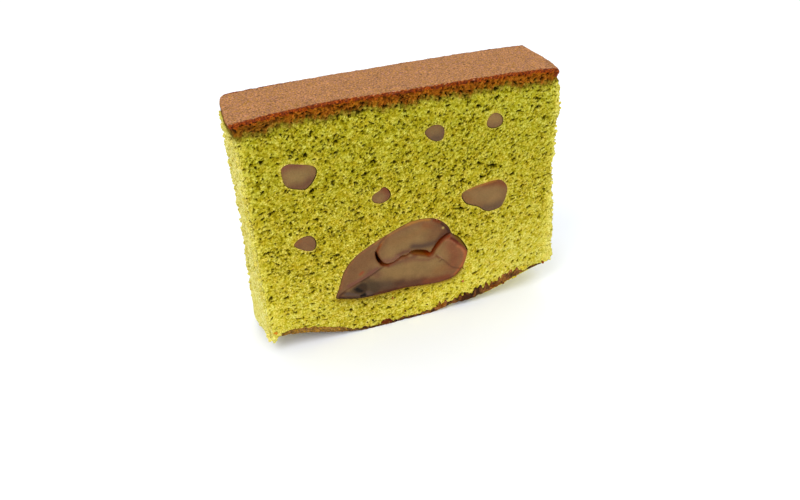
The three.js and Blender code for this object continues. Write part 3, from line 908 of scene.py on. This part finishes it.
    "chestnut_upper": {
        "skin": [
            (5, 54.4), (5.9, 55.3), (7.4, 55.8), (8.9, 55.5), (9.8, 54.6), (9.9, 53.3), (9.4, 51.9),
            (8.2, 51.6), (6.6, 52.2), (5.5, 53.3),
        ],
        "zones": [
            ([(6.6, 54.2), (8.6, 54)], 1.6, "#7C6242", 0.6),
            ([(6.8, 52.4), (8.8, 52.3)], 1.3, "#67503F", 0.95),
            ([(9.8, 54.2), (9.6, 52.8)], 0.7, "#725240", 0.8),
            ([(5.2, 54.4), (5.8, 53.2)], 0.6, "#78583E", 0.7),
        ],
        "back": 0.8, "middle": 0.25, "shift": (-1.1, 0.7), "turn": -15,
    },
    "chestnut_corner": {
        "skin": [
            (21.2, 53.9), (21.8, 55.4), (22.9, 56.1), (24.3, 55.8), (25.4, 54.4), (25.2, 53), (24.2, 52.4),
            (22.6, 52.4), (21.5, 53),
        ],
        "zones": [
            ([(22.8, 54.8), (24, 54)], 1.4, "#96764A", 0.5),
            ([(22.4, 52.8), (24.4, 52.9)], 0.7, "#7E5C42", 0.6),
        ],
        "pale": 2.4,
        "back": 1.2, "middle": 0.2, "shift": (1, -1.1), "turn": 12,
    },
    "chestnut_low": {
        "skin": [
            (-29.9, 31.2), (-28.9, 32.4), (-26.9, 33), (-25.7, 32.8), (-24.8, 31.7), (-24.6, 30.2),
            (-25.2, 28.9), (-26.4, 28.7), (-28.4, 29.7),
        ],
        "zones": [
            ([(-29.4, 31), (-27, 31.4), (-25.6, 30.4)], 2.2, "#7E583F", 0.9),
            ([(-29.8, 31.2), (-28.2, 32.2)], 0.4, "#8C5A34", 0.7),
        ],
        "back": 0.85, "middle": 0.25, "shift": (1.3, 0.6), "turn": 18,
    },
}
# What they share, unless one of them has its own:
nut = {
    "steps": 14,                     # rings along the way through the slice
    "sides": 60, "step": 0.25,       # points round its outline, and how far apart they lie on its cut face
    "clear": 0.015,                  # the space left round it in the sponge
    "gapWidth": 0.12, "gapReach": 0.9,           # the wider space beside the large one
    "past": 1.6,                     # how far its pocket's cutter runs past the cut faces
    # colours by how far a place lies in from the skin
    "flesh": [(0, "#84613F"), (0.3, "#856240"), (1, "#8A6845"), (2.2, "#8D6D4A"), (5, "#91724D")],
    "pale": 1,                       # above one, the flesh is pale closer to the skin
    "gain": (0.755, 0.72, 0.56),     # the flesh's colours as they look under the lamps, back to paint
    "skinColour": "#5A3222", "shadedFoldWall": "#5A200C", "pocket": "#7A6C14",
    # how its edges are rounded off: the reach and the depth
    "rimDrop": (0.25, 0.05), "foldDrop": (0.35, 0.3), "creaseDrop": (0.2, 0.14),
    # and how they are tinted: the reach, the colour and its share; the creases' dark tint is painted shade
    # in them
    "rimTint": (0.2, "#68403A", 0.06), "foldTint": (0.25, "#743410", 0.65),
    "creaseTint": (0.25, "#4E2A1E", 0.5),
    "foldSteps": 110, "creaseSteps": 60, "creases": [], "patches": [],
}
chestnuts = {name: {**nut, **own} for name, own in chestnuts.items()}


# A smooth curve through points, evenly spaced along it; the same rule as the frame's own outlines.
def softLine(through, count, closed):
    p = np.array(through, float)
    if closed:
        ring = np.concatenate([p[-1:], p, p[:2]])
    else:
        ring = np.concatenate([[2 * p[0] - p[1]], p, [2 * p[-1] - p[-2]]])
    line = []
    for p0, p1, p2, p3 in zip(ring, ring[1:], ring[2:], ring[3:]):
        d0, d1, d2 = (math.sqrt(np.linalg.norm(b - a)) for a, b in ((p0, p1), (p1, p2), (p2, p3)))
        t1 = ((p1 - p0) / d0 - (p2 - p0) / (d0 + d1) + (p2 - p1) / d1) * d1
        t2 = ((p2 - p1) / d1 - (p3 - p1) / (d1 + d2) + (p3 - p2) / d2) * d1
        t = np.linspace(0, 1, 24, endpoint=False)[:, None]
        hermite = (2 * p1 - 2 * p2 + t1 + t2) * t ** 3 + (3 * p2 - 3 * p1 - 2 * t1 - t2) * t ** 2
        line.append(hermite + t1 * t + p1)
    line = np.concatenate(line + [p[:1] if closed else p[-1:]])
    run = distances(line)
    at = np.linspace(0, run[-1], count + 1)
    even = np.stack([np.interp(at, run, line[:, n]) for n in range(p.shape[1])], -1)
    return even[:-1] if closed else even


def distances(line):                     # how far along a line each of its points lies
    return np.concatenate([[0], np.cumsum(np.linalg.norm(np.diff(line, axis=0), axis=1))])


def turning(outline):                    # above zero where it runs anticlockwise
    after = np.roll(outline, -1, axis=0)
    return np.sum(outline[:, 0] * after[:, 1] - outline[:, 1] * after[:, 0])


def anticlockwise(outline):
    return outline[::-1] if turning(outline) < 0 else outline


# The outline moved outwards; it may run either way round.
def grown(outline, distance):
    along = np.roll(outline, -1, axis=0) - np.roll(outline, 1, axis=0)
    along /= np.linalg.norm(along, axis=1)[:, None]
    outward = np.stack([along[:, 1], -along[:, 0]], -1) * np.sign(turning(outline))
    return outline + outward * np.reshape(distance, (-1, 1))


# A chestnut's outline points at a share of the way through the slice.
def carried(points, shape, share):
    skin = np.array(shape["skin"])
    middle = (skin.min(0) + skin.max(0)) / 2
    size = between(1, shape["back"], share) + shape["middle"] * math.sin(math.pi * share)
    turn = math.radians(shape["turn"] * share)
    off = (points - middle) * size
    x = middle[0] + off[:, 0] * math.cos(turn) - off[:, 1] * math.sin(turn) + shape["shift"][0] * share
    z = middle[1] + off[:, 0] * math.sin(turn) + off[:, 1] * math.cos(turn) + shape["shift"][1] * share
    return x, z


def toLine(points, line, closed=False):      # each point's distance to a line of points
    line = np.asarray(line, float)
    best = np.full(len(points), 1e9)
    for start, end in zip(line, np.roll(line, -1, axis=0) if closed else line[1:]):
        run = end - start
        t = np.clip((points - start) @ run / (run @ run), 0, 1)
        best = np.minimum(best, np.linalg.norm(points - start - t[:, None] * run, axis=1))
    return best


def inside(points, outline):
    result = np.zeros(len(points), bool)
    for (ax, az), (bx, bz) in zip(outline, np.roll(outline, -1, axis=0)):
        crosses = (az > points[:, 1]) != (bz > points[:, 1])
        with np.errstate(divide="ignore", invalid="ignore"):
            at = ax + (points[:, 1] - az) * (bx - ax) / (bz - az)
        result ^= crosses & (points[:, 0] < at)
    return result


def foldWalls(fold, count):
    fold = np.array(fold)
    line = softLine(fold[:, :2], count, False)
    run = distances(fold[:, :2])
    half = np.interp(np.linspace(0, run[-1], len(line)), run, fold[:, 2])
    along = np.gradient(line, axis=0)
    along /= np.linalg.norm(along, axis=1)[:, None]
    across = np.stack([-along[:, 1], along[:, 0]], -1) * half[:, None]
    return np.concatenate([line + across, (line - across)[::-1]])


# Triangles over a cut face, from its outline and evenly spread points inside it.
def capMesh(outline, step):
    low, high = outline.min(0), outline.max(0)
    spots = []
    for n, z in enumerate(np.arange(low[1], high[1], step * 0.866)):
        x = np.arange(low[0] + (n % 2) * step / 2, high[0], step)
        spots.append(np.stack([x, np.full(len(x), z)], -1))
    spots = np.concatenate(spots)
    spots = spots[inside(spots, outline)]
    spots = spots[toLine(spots, outline, True) > step * 0.55]
    points = np.concatenate([outline, spots])
    loop = list(range(len(outline)))
    made = delaunay_2d_cdt([Vector(p) for p in points.tolist()], [], [loop], 1, 1e-6)
    if len(made[0]) != len(points):
        raise RuntimeError("a chestnut's outline crosses itself")
    return points, np.array(made[2])


def drop(away, reach, depth):
    return depth * fade(away, reach)


def tinted(colours, away, reach, colour, part):
    return mix(colours, paint(colour), part * fade(away, reach))


# How deep each point of a cut face lies, and its colour.
def cutFace(points, skin, walls, shape):
    fromSkin = toLine(points, skin, walls is None)
    relief = drop(fromSkin, *shape["rimDrop"])
    colours = shade(fromSkin * shape["pale"], shape["flesh"])
    if walls is not None:
        fromFold = toLine(points, walls)
        relief = np.maximum(relief, drop(fromFold, *shape["foldDrop"]))
    for line, *tint in shape["zones"]:
        colours = tinted(colours, toLine(points, line), *tint)
    for line, soft, colour, part, low in shape["patches"]:
        share = smooth(toLine(points, line, True) * np.where(inside(points, line), 1, -1), -soft, soft)
        colours = mix(colours, paint(colour), part * share)
        relief += low * share
    if walls is not None:
        colours = tinted(colours, fromFold, *shape["foldTint"])
    for crease in shape["creases"]:
        away = toLine(points, softLine(crease, shape["creaseSteps"], False))
        relief += drop(away, *shape["creaseDrop"])
        colours = tinted(colours, away, *shape["creaseTint"])
    return relief, tinted(colours, fromSkin, *shape["rimTint"]) * np.array(shape["gain"])


# The skin's colour on the way through, and the fold's walls: the lower one painted lit, the upper one
# painted dark.
def wallColours(edge, walls, shape):
    tone = np.tile(paint(shape["skinColour"]), (len(edge), 1))
    if walls is None:
        return tone
    lower = edge[:, 1] < valueAt(edge[:, 0], sorted(place[:2] for place in shape["fold"]))
    wall = np.where(lower[:, None], shade(edge[:, 0], shape["foldTones"]), paint(shape["shadedFoldWall"]))
    return mix(tone, wall, smooth(toLine(edge, walls), 0.5, 0.1))


def addChestnut(name, shape, material):
    walls = foldWalls(shape["fold"], shape["foldSteps"]) if "fold" in shape else None
    skin = softLine(shape["skin"], shape["sides"], walls is None)
    outline = anticlockwise(skin if walls is None else np.concatenate([skin, walls]))
    points, triangles = capMesh(outline, shape["step"])
    relief, colours = cutFace(points, skin, walls, shape)
    parts = []
    for share, sign in ((0, 1), (1, -1)):
        x, z = carried(points, shape, share)
        parts.append(places(x, backFace(x) * share + sign * relief, z))
    tones = [colours, colours]
    count, edge, steps = len(points), len(outline), shape["steps"]
    wallTones = wallColours(outline, walls, shape)
    for share in np.arange(1, steps) / steps:
        x, z = carried(outline, shape, share)
        parts.append(places(x, between(parts[0][:edge, 1], parts[1][:edge, 1], share), z))
        tones.append(wallTones)
    starts = [0, *(2 * count + edge * np.arange(steps - 1)), count]
    rings = np.array([start + np.arange(edge) for start in starts])
    # the outline runs anticlockwise seen from the front, with y pointing away
    faces = [triangles, triangles[:, ::-1] + count, gridFaces(ringed(rings))]
    piece = addPiece(name + "_cut", np.concatenate(parts), faces, np.concatenate(tones))
    piece.data.materials.append(material)
    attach(piece, "root")
    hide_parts(name)


# One mesh of all the pockets, to cut out of the sponge.
def pocketCutters(material):
    points, faces, count = [], [], 0
    steps, past = nut["steps"], nut["past"]
    for shape in chestnuts.values():
        outline = softLine(shape["skin"], shape["sides"], True)
        loose = 0
        if "gap" in shape:
            loose = nut["gapWidth"] * fade(toLine(outline, shape["gap"]), nut["gapReach"])
        outline = anticlockwise(grown(outline, nut["clear"] + loose))
        for share in np.arange(steps + 1) / steps:
            x, z = carried(outline, shape, share)
            points.append(places(x, between(-past, backFace(x) + past, share), z))
        faces += tube(count + np.arange((steps + 1) * len(outline)).reshape(steps + 1, -1))
        count += (steps + 1) * len(outline)
    colours = np.tile(paint(nut["pocket"]), (count, 1))
    cutter = addPiece("pockets", np.concatenate(points), faces, colours)
    cutter.data.materials.append(material)
    return cutter


skinTop = {
    "thick": 0.55, "waver": 0.12, "thinnest": 0.15,
    "edgeRound": 0.35, "sunk": 0.1, "in": 0.05,     # how far it lies under the top and in from the cut faces
    "along": 300, "noseSteps": 14,
    "across": (0, 0.06, 0.15, 0.3, 0.5, 0.8),      # rows near each cut face, then even ones
    "rows": 46,
    "cell": 0.28, "seed": 71,
    "colour": "#A37046", "edgeColour": "#68280C", "edgeOrangeAndSheen": "#A24E12",
    # along the slice: how far the dark rim reaches onto the top
    "rim": [(-39, 0.7), (-28, 0.6), (-19, 0.3), (-8, 0.12), (20, 0.12), (30, 0.3), (40, 0.6)],
}


def addTopSkin(material):
    near = np.array(skinTop["across"])
    thick = (cake["thickLeft"] + cake["thickRight"]) / 2
    even = np.linspace(near[-1], thick - near[-1], skinTop["rows"])[1:-1]
    y = np.concatenate([near, even, (thick - near)[::-1]])
    depth = y / thick
    # lines over the slice: up the left nose, along the top, down the right nose
    noseX, noseZ = {}, {}
    for side, sign in (("left", 1), ("right", -1)):
        nose = softLine(crustEnds[side]["nose"], skinTop["noseSteps"], False)
        noseX[side] = skinTip(side, depth) + sign * nose[:, 1:]
        noseZ[side] = topHeight(cake[side + "End"], depth) - nose[:, :1]
    share = np.linspace(0, 1, skinTop["along"] + 1)[1:-1, None]
    topX = between(noseX["left"][0], noseX["right"][0], share)
    x = np.concatenate([noseX["left"][::-1], topX, noseX["right"]])
    z = np.concatenate([noseZ["left"][::-1], topHeight(topX, depth), noseZ["right"]])
    noseShare = np.linspace(0, 1, skinTop["noseSteps"] + 1)
    noseShare = np.concatenate([noseShare[::-1], np.zeros(len(share)), noseShare])

    def uneven(size, own, shape=x.shape):
        return grain(shape, skinTop["cell"], size, skinTop["seed"] + own)

    edge = np.minimum(y, thick - y)
    fall = cornerIn(edge, skinTop["edgeRound"])
    out = sideNormals(x, z)
    yOut = depth * backFace(x)
    wobble = 0.1 * uneven(1.3, 3, (len(x), 8))
    yOut[:, 0] += skinTop["in"] + wobble[:, 0]
    yOut[:, -1] -= skinTop["in"] + wobble[:, 1]
    lower = skinTop["sunk"] + fall + 0.035 * uneven(3, 0) + 0.025 * uneven(0.9, 1)
    outer = places(x, yOut, z) - out * lower[..., None]
    thickness = skinTop["thick"] + skinTop["waver"] * uneven(2.5, 2) - fall * 0.6
    inner = outer - out * np.clip(thickness, skinTop["thinnest"], 1)[..., None]
    a = np.arange(x.size).reshape(x.shape)
    b = a + x.size
    faces = [
        gridFaces(a), gridFaces(b, True),
        quads(a[:-1, 0], b[:-1, 0], b[1:, 0], a[1:, 0]),
        quads(a[:-1, -1], a[1:, -1], b[1:, -1], b[:-1, -1]),
        quads(a[0, :-1], a[0, 1:], b[0, 1:], b[0, :-1]),
        quads(a[-1, :-1], b[-1, :-1], b[-1, 1:], a[-1, 1:]),
    ]
    # orange-red streaks in the dark rim: the crust's own colour, painted brighter as sheen on its glossy
    # edge
    rim = mix(paint(skinTop["edgeColour"]), paint(skinTop["edgeOrangeAndSheen"]), smooth(uneven(0.8, 5), 0.2, 1.4))
    reach = valueAt(x, skinTop["rim"])
    onRim = smooth(edge + 0.16 * uneven(1.2, 4), 0.3 + reach, 0.1 + 0.7 * reach)
    colours = mix(paint(skinTop["colour"]), rim, onRim)
    colours = mix(colours, rim, smooth(noseShare, 0.3, 0.7)[:, None])
    allColours = np.stack([colours, rim]).reshape(-1, 3)
    piece = addPiece("topSkin", np.stack([outer, inner]), faces, allColours)
    piece.data.materials.append(material)
    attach(piece, "root")
    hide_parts("sponge")
    print("topSkin", len(piece.data.polygons), "faces")


# Directions out of the lines along the slice.
def sideNormals(x, z):
    alongX = np.gradient(x, axis=0)
    alongZ = np.gradient(z, axis=0)
    return places(-alongZ, 0, alongX) / np.hypot(alongX, alongZ)[..., None]


footCrust = {
    "columns": 640, "lipSteps": 18, "under": 44, "inside": 0.28, "seed": 31,
    # its lip's outline, from inside the sponge over the lip to the underside: how far in, as a share of the
    # stand-out (negative) or in millimetres, and a share of the height
    "lip": [
        (1.1, 0.7), (0.5, 1), (-0.35, 0.95), (-0.85, 0.74), (-1, 0.45), (-0.85, 0.16), (-0.3, 0), (0.8, 0),
    ],
    "furthest": 0.47,                # how far its lumps may stand out
    "smoothPart": (-17, -21),        # left of this it is smooth and ribbed
    # along the slice: how high it shows on the cut face, how far it stands out of it, how dark it is
    "rim": [
        (-37.6, 0.2, 0, 0.9), (-36.6, 0.8, 0.1, 0.6), (-32.9, 1.4, 0.15, 0.25), (-27, 1.75, 0.2, 0.1),
        (-20.6, 1.5, 0.2, 0.2), (-18.6, 0.8, 0.1, 0.6), (-15.5, 0.5, 0.1, 0.9), (-13.8, 0.9, 0.15, 0.7),
        (-12.6, 0.4, 0.05, 1), (-9.7, 0.5, 0.1, 0.9), (-9, 1.2, 0.4, 0.6), (-7.8, 1.4, 0.45, 0.35),
        (-6.7, 1, 0.35, 0.7), (-6, 0.5, 0.1, 0.9), (-3.4, 0.8, 0.1, 0.8), (-0.6, 0.6, 0.1, 0.9),
        (2.2, 0.8, 0.1, 0.7), (4.8, 1.2, 0.15, 0.5), (5.6, 0.7, 0, 1), (6.5, 1.6, 0.35, 0.3),
        (9.5, 1.8, 0.4, 0.35), (10.4, 1, 0.1, 0.9), (12.4, 1.5, 0.1, 0.6), (13.6, 2, 0.2, 0.85),
        (17.6, 2.4, 0.3, 1), (20.2, 2.5, 0.3, 1), (21.4, 2.2, 0.2, 0.5), (27, 2.2, 0.2, 0.4),
        (31.6, 1.9, 0.2, 0.5), (32.7, 1.2, 0.1, 0.5), (33.3, 0.15, 0, 0.6), (34.6, 0.15, 0, 0.6),
        (35.2, 0.5, 0.1, 0.9), (38.2, 0.45, 0.1, 0.9), (39.2, 0.15, 0, 0.9),
    ],
    "light": "#90692C", "reddish": "#8E5A2A", "dark": "#38200E",
}


def addFootCrust(material):
    rim = np.array(footCrust["rim"])
    start, end = rim[0, 0], rim[-1, 0]
    x = np.linspace(start, end, footCrust["columns"])
    count, cell, seed = len(x), x[1] - x[0], footCrust["seed"]
    lip = softLine(footCrust["lip"], footCrust["lipSteps"], False)
    strip = (count, 90)
    ragged = 0.18 * grain(strip, cell, 1.8, seed) + 0.08 * grain(strip, cell, 0.8, seed + 1)
    sides, tones = [], []
    for n, along in enumerate((x, start + end - x)):         # the back's rim runs the other way round
        plain = smooth(along, *footCrust["smoothPart"])[:, None]
        high, out, tone = (np.interp(along, rim[:, 0], rim[:, row])[:, None] for row in (1, 2, 3))
        high = high * np.clip(1 + ragged[:, 3 + n, None] * (1 - 0.7 * plain), 0.5, 1.6)
        ribs = grain((count, len(lip)), cell, 0.62, seed + 2 + n, 3, 78) * plain
        lumps = grain(strip, cell, 0.9, seed + 4 + n, 2.4, 4)[:, :len(lip)] * (1 - 0.6 * plain)
        near = lip[:, 0]
        inward = np.where(near < 0, near * (out + 0.12), near)
        inward = inward - (0.04 * ribs + 0.13 * lumps) * fade(near + 0.4, 0.7)
        most = footCrust["furthest"]
        inward = np.where(inward < 0, most * np.tanh(inward / most), inward)
        sides.append((inward, lip[:, 1] * high))
        # lumps and ribs that stand out are painted lighter and the hollows darker: painted light and shade
        tones.append(np.clip(tone - 0.12 * ribs - 0.26 * lumps, 0, 1))
    (frontIn, frontUp), (backIn, backUp) = sides
    back = backFace(x)[:, None]
    across = np.linspace(0, 1, footCrust["under"] + 2)[1:-1]
    bumps = np.abs(grain((count, len(across)), 0.4, 1.8, seed + 8)) * 0.06
    y = np.concatenate([
        frontIn, between(frontIn[:, -1:], back - backIn[:, -1:], across), (back - backIn)[:, ::-1],
        between(back - backIn[:, :1], frontIn[:, :1], np.array([0.02, 0.5, 0.98])),
    ], 1)
    level = np.full((count, 3), footCrust["inside"])
    z = np.concatenate([frontUp, bumps, backUp[:, ::-1], level], 1) + underside(x)[:, None]
    xs = x[:, None] + (0.1 * np.sin(y * 1.7) + 0.15 * np.sin(y * 0.6 + 1))
    # the underside is painted darker where its bumps pit it: painted shade
    dark = np.concatenate([tones[0], 0.45 + 3 * bumps, tones[1][:, ::-1], np.full(level.shape, 0.6)], 1)
    colours = mix(paint(footCrust["light"]), paint(footCrust["reddish"]), smooth(xs, -12, 4))
    colours = mix(colours, paint(footCrust["dark"]), np.clip(dark, 0, 1)).reshape(-1, 3)
    faces = tube(np.arange(z.size).reshape(z.shape))
    piece = addPiece("bottomCrust", places(xs, y, np.maximum(z, 0)), faces, colours)
    piece.data.materials.append(material)
    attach(piece, "root")
    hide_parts("sponge")
    print("bottomCrust", len(piece.data.polygons), "faces")


# Small rounded crumbs, all in one piece: the torn ends' own and a few at set places.
looseCrumbs = {
    "ends": 620, "endSize": (0.25, 0.55), "seed": 91,
    "atEdges": 0.42, "atFront": 0.6,     # how many of them cling to an end's edges, and to its front edge
    "specks": 0.2,                       # how strong the crumb's dark specks are on them
    # place, spread, how many, size, colour
    "clumps": [
        # the next five are painted paler than the crumb: painted light against the shade they sit in
        ((-39.6, 2.5, 4.3), (0.3, 2, 0.4), 26, 0.36, "#E4DA72"),
        ((-40, 5, 60), (0.25, 5, 0.8), 34, 0.3, "#C8BC58"),
        ((-39.9, 14, 59.9), (0.25, 6, 0.8), 40, 0.3, "#C8BC58"),
        ((-38.5, 0.6, 4.3), (0.5, 0.5, 0.6), 32, 0.38, "#DED468"),
        ((-38.6, 0.4, 3.5), (0.25, 0.3, 0.35), 10, 0.3, "#E2D86E"),
        ((-37.5, 0.3, 5.6), (0.9, 0.3, 0.3), 14, 0.35, "#CCC050"),
        ((30.9, -0.1, 5.1), (0.45, 0.2, 0.15), 7, 0.26, "#CDBB3A"),
        ((33.9, 0.3, 7.5), (0.7, 0.4, 0.3), 22, 0.38, "#BFAE32"),
        ((40.6, 0.6, 8.4), (0.7, 0.4, 0.35), 20, 0.36, "#CDBE48"),
        ((-7.7, -0.1, 0.7), (1, 0.1, 0.4), 20, 0.5, "#5E2A12"),
        ((8.2, 0, 1.7), (0.9, 0.1, 0.2), 10, 0.4, "#74440F"),
        ((15.4, 0, 2.6), (1.6, 0.1, 0.5), 16, 0.34, "#4A2810"),
        ((24.5, 0, 4.3), (3, 0.1, 0.7), 22, 0.34, "#6E3A12"),
        ((39.9, -0.1, 7.9), (0.3, 0.15, 0.2), 4, 0.28, "#7C3A12"),
        ((-38, 0.1, 6.2), (0.4, 0.1, 0.15), 3, 0.24, "#D08A2A"),
    ],
    # flecks in the cut face: x, z, size, colour; the two at (7.6, 29.7) and (8.3, 29.9) are a painted
    # highlight on the large chestnut's edge
    "flecks": [
        (-5.6, 8.1, 0.3, "#A05A2E"), (15, 8, 0.34, "#B0683A"), (14.8, 12.7, 0.24, "#5A2614"),
        (15.1, 12.2, 0.22, "#6A2C16"), (15.5, 11.9, 0.2, "#7A3A1E"), (7.6, 29.7, 0.26, "#966840"),
        (8.3, 29.9, 0.22, "#8C6440"), (-2.2, 2.7, 0.28, "#5A3816"), (0.8, 2.9, 0.24, "#6A4218"),
        (4.2, 3.1, 0.28, "#57340F"), (-31, 24.5, 0.2, "#8A6A20"), (-11.6, 2.4, 0.3, "#2E1C0A"),
        (-13.2, 2.2, 0.26, "#4A2C10"),
    ],
    "fleckIn": 0.12,                     # how far in from the cut face a fleck lies
}


# The crumbs that cling to a torn end: their places, sizes and colours.
def endCrumbs(side, rng):
    count = looseCrumbs["ends"]
    sign = -1 if side == "left" else 1
    depth = rng.random(count)
    edge = rng.random(count) < looseCrumbs["atEdges"]
    atFront = rng.random(edge.sum()) < looseCrumbs["atFront"]
    depth[edge] = np.where(atFront, 0.06, 0.94) + 0.04 * rng.standard_normal(edge.sum())
    depth = np.clip(depth, 0.015, 0.985)
    low = underside(cake[side + "End"]) + 1
    z = low + (topHeight(cake[side + "End"], depth) - 4.6 - low) * rng.random(count)
    size = between(*looseCrumbs["endSize"], rng.random(count) ** 2)
    foot = smooth(z, 20, 8) * smooth(np.abs(depth - 0.5), 0.5, 0.3)
    standing = between(0.05, -0.45, foot) - 0.25 * size + 0.1 * rng.standard_normal(count)
    x = endPlaces(depth, z, side) + sign * standing
    # painted light, as on the end they cling to: pale, and lit more near its front and back edges
    tone = shade(0.4 * rng.random(count), crumb["endLightPalette"])
    lit = 0.6 * smooth(np.abs(depth - 0.5), 0.3, 0.45)
    tone = mix(tone, shade(0.4 * rng.random(count), crumb["litPalette"]), lit)
    return places(x, backFace(x) * depth, z), size, tone


def addLooseCrumbs(material):
    rng = np.random.default_rng(looseCrumbs["seed"])
    made = bmesh.new()
    bmesh.ops.create_icosphere(made, subdivisions=2, radius=1)
    ball = np.array([v.co[:] for v in made.verts])
    skin = np.array([[v.index for v in f.verts] for f in made.faces])
    made.free()
    groups = [endCrumbs(side, rng) for side in crustEnds]
    for place, spread, count, size, colour in looseCrumbs["clumps"]:
        off = np.array(spread) * np.clip(rng.standard_normal((count, 3)), -1.4, 1.4) * 0.7
        sizes = size * (0.7 + 0.6 * rng.random(count))
        groups.append((place + off, sizes, paint(colour) * (0.8 + 0.4 * rng.random((count, 1)))))
    for x, z, size, colour in looseCrumbs["flecks"]:
        groups.append(([(x, looseCrumbs["fleckIn"], z)], [size], [paint(colour)]))
    middles, sizes, tones = (np.concatenate(part) for part in zip(*groups))
    total = len(sizes)
    waves = rng.standard_normal((total, 2, 3)) * 2.4
    phase = rng.random((total, 2, 1)) * 6.28
    swell = 1 + 0.16 * np.sin(waves @ ball.T + phase).sum(1)
    flat = 0.75 + 0.5 * rng.random((total, 1, 3))
    points = middles[:, None] + ball[None] * swell[..., None] * sizes[:, None, None] * flat
    # each crumb stays inside the frame's box
    points += np.maximum(cadLow + 0.02 - points.min(1), 0)[:, None]
    points -= np.maximum(points.max(1) - cadHigh, 0)[:, None]
    faces = (skin[None] + len(ball) * np.arange(total)[:, None, None]).reshape(-1, 3)
    colours = np.column_stack([tones, np.full(total, looseCrumbs["specks"])])
    piece = addPiece("looseCrumbs", points, [faces], np.repeat(colours, len(ball), 0))
    piece.data.materials.append(material)
    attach(piece, "root")
    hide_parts("sponge")
    print("looseCrumbs", len(faces), "triangles")


addCamera()
addStudio()
print("camera and studio ready")
spongeFinish = crumbFinish()
pockets = pocketCutters(spongeFinish)
addCrumb(spongeFinish, pockets)
bpy.data.objects.remove(pockets)
nutFinish = chestnutFinish()
for nutName, nutShape in chestnuts.items():
    addChestnut(nutName, nutShape, nutFinish)
print("chestnuts ready")
brownedFinish = skinFinish()
addTopSkin(brownedFinish)
addFootCrust(brownedFinish)
addLooseCrumbs(spongeFinish)
print("crusts and loose crumbs ready")
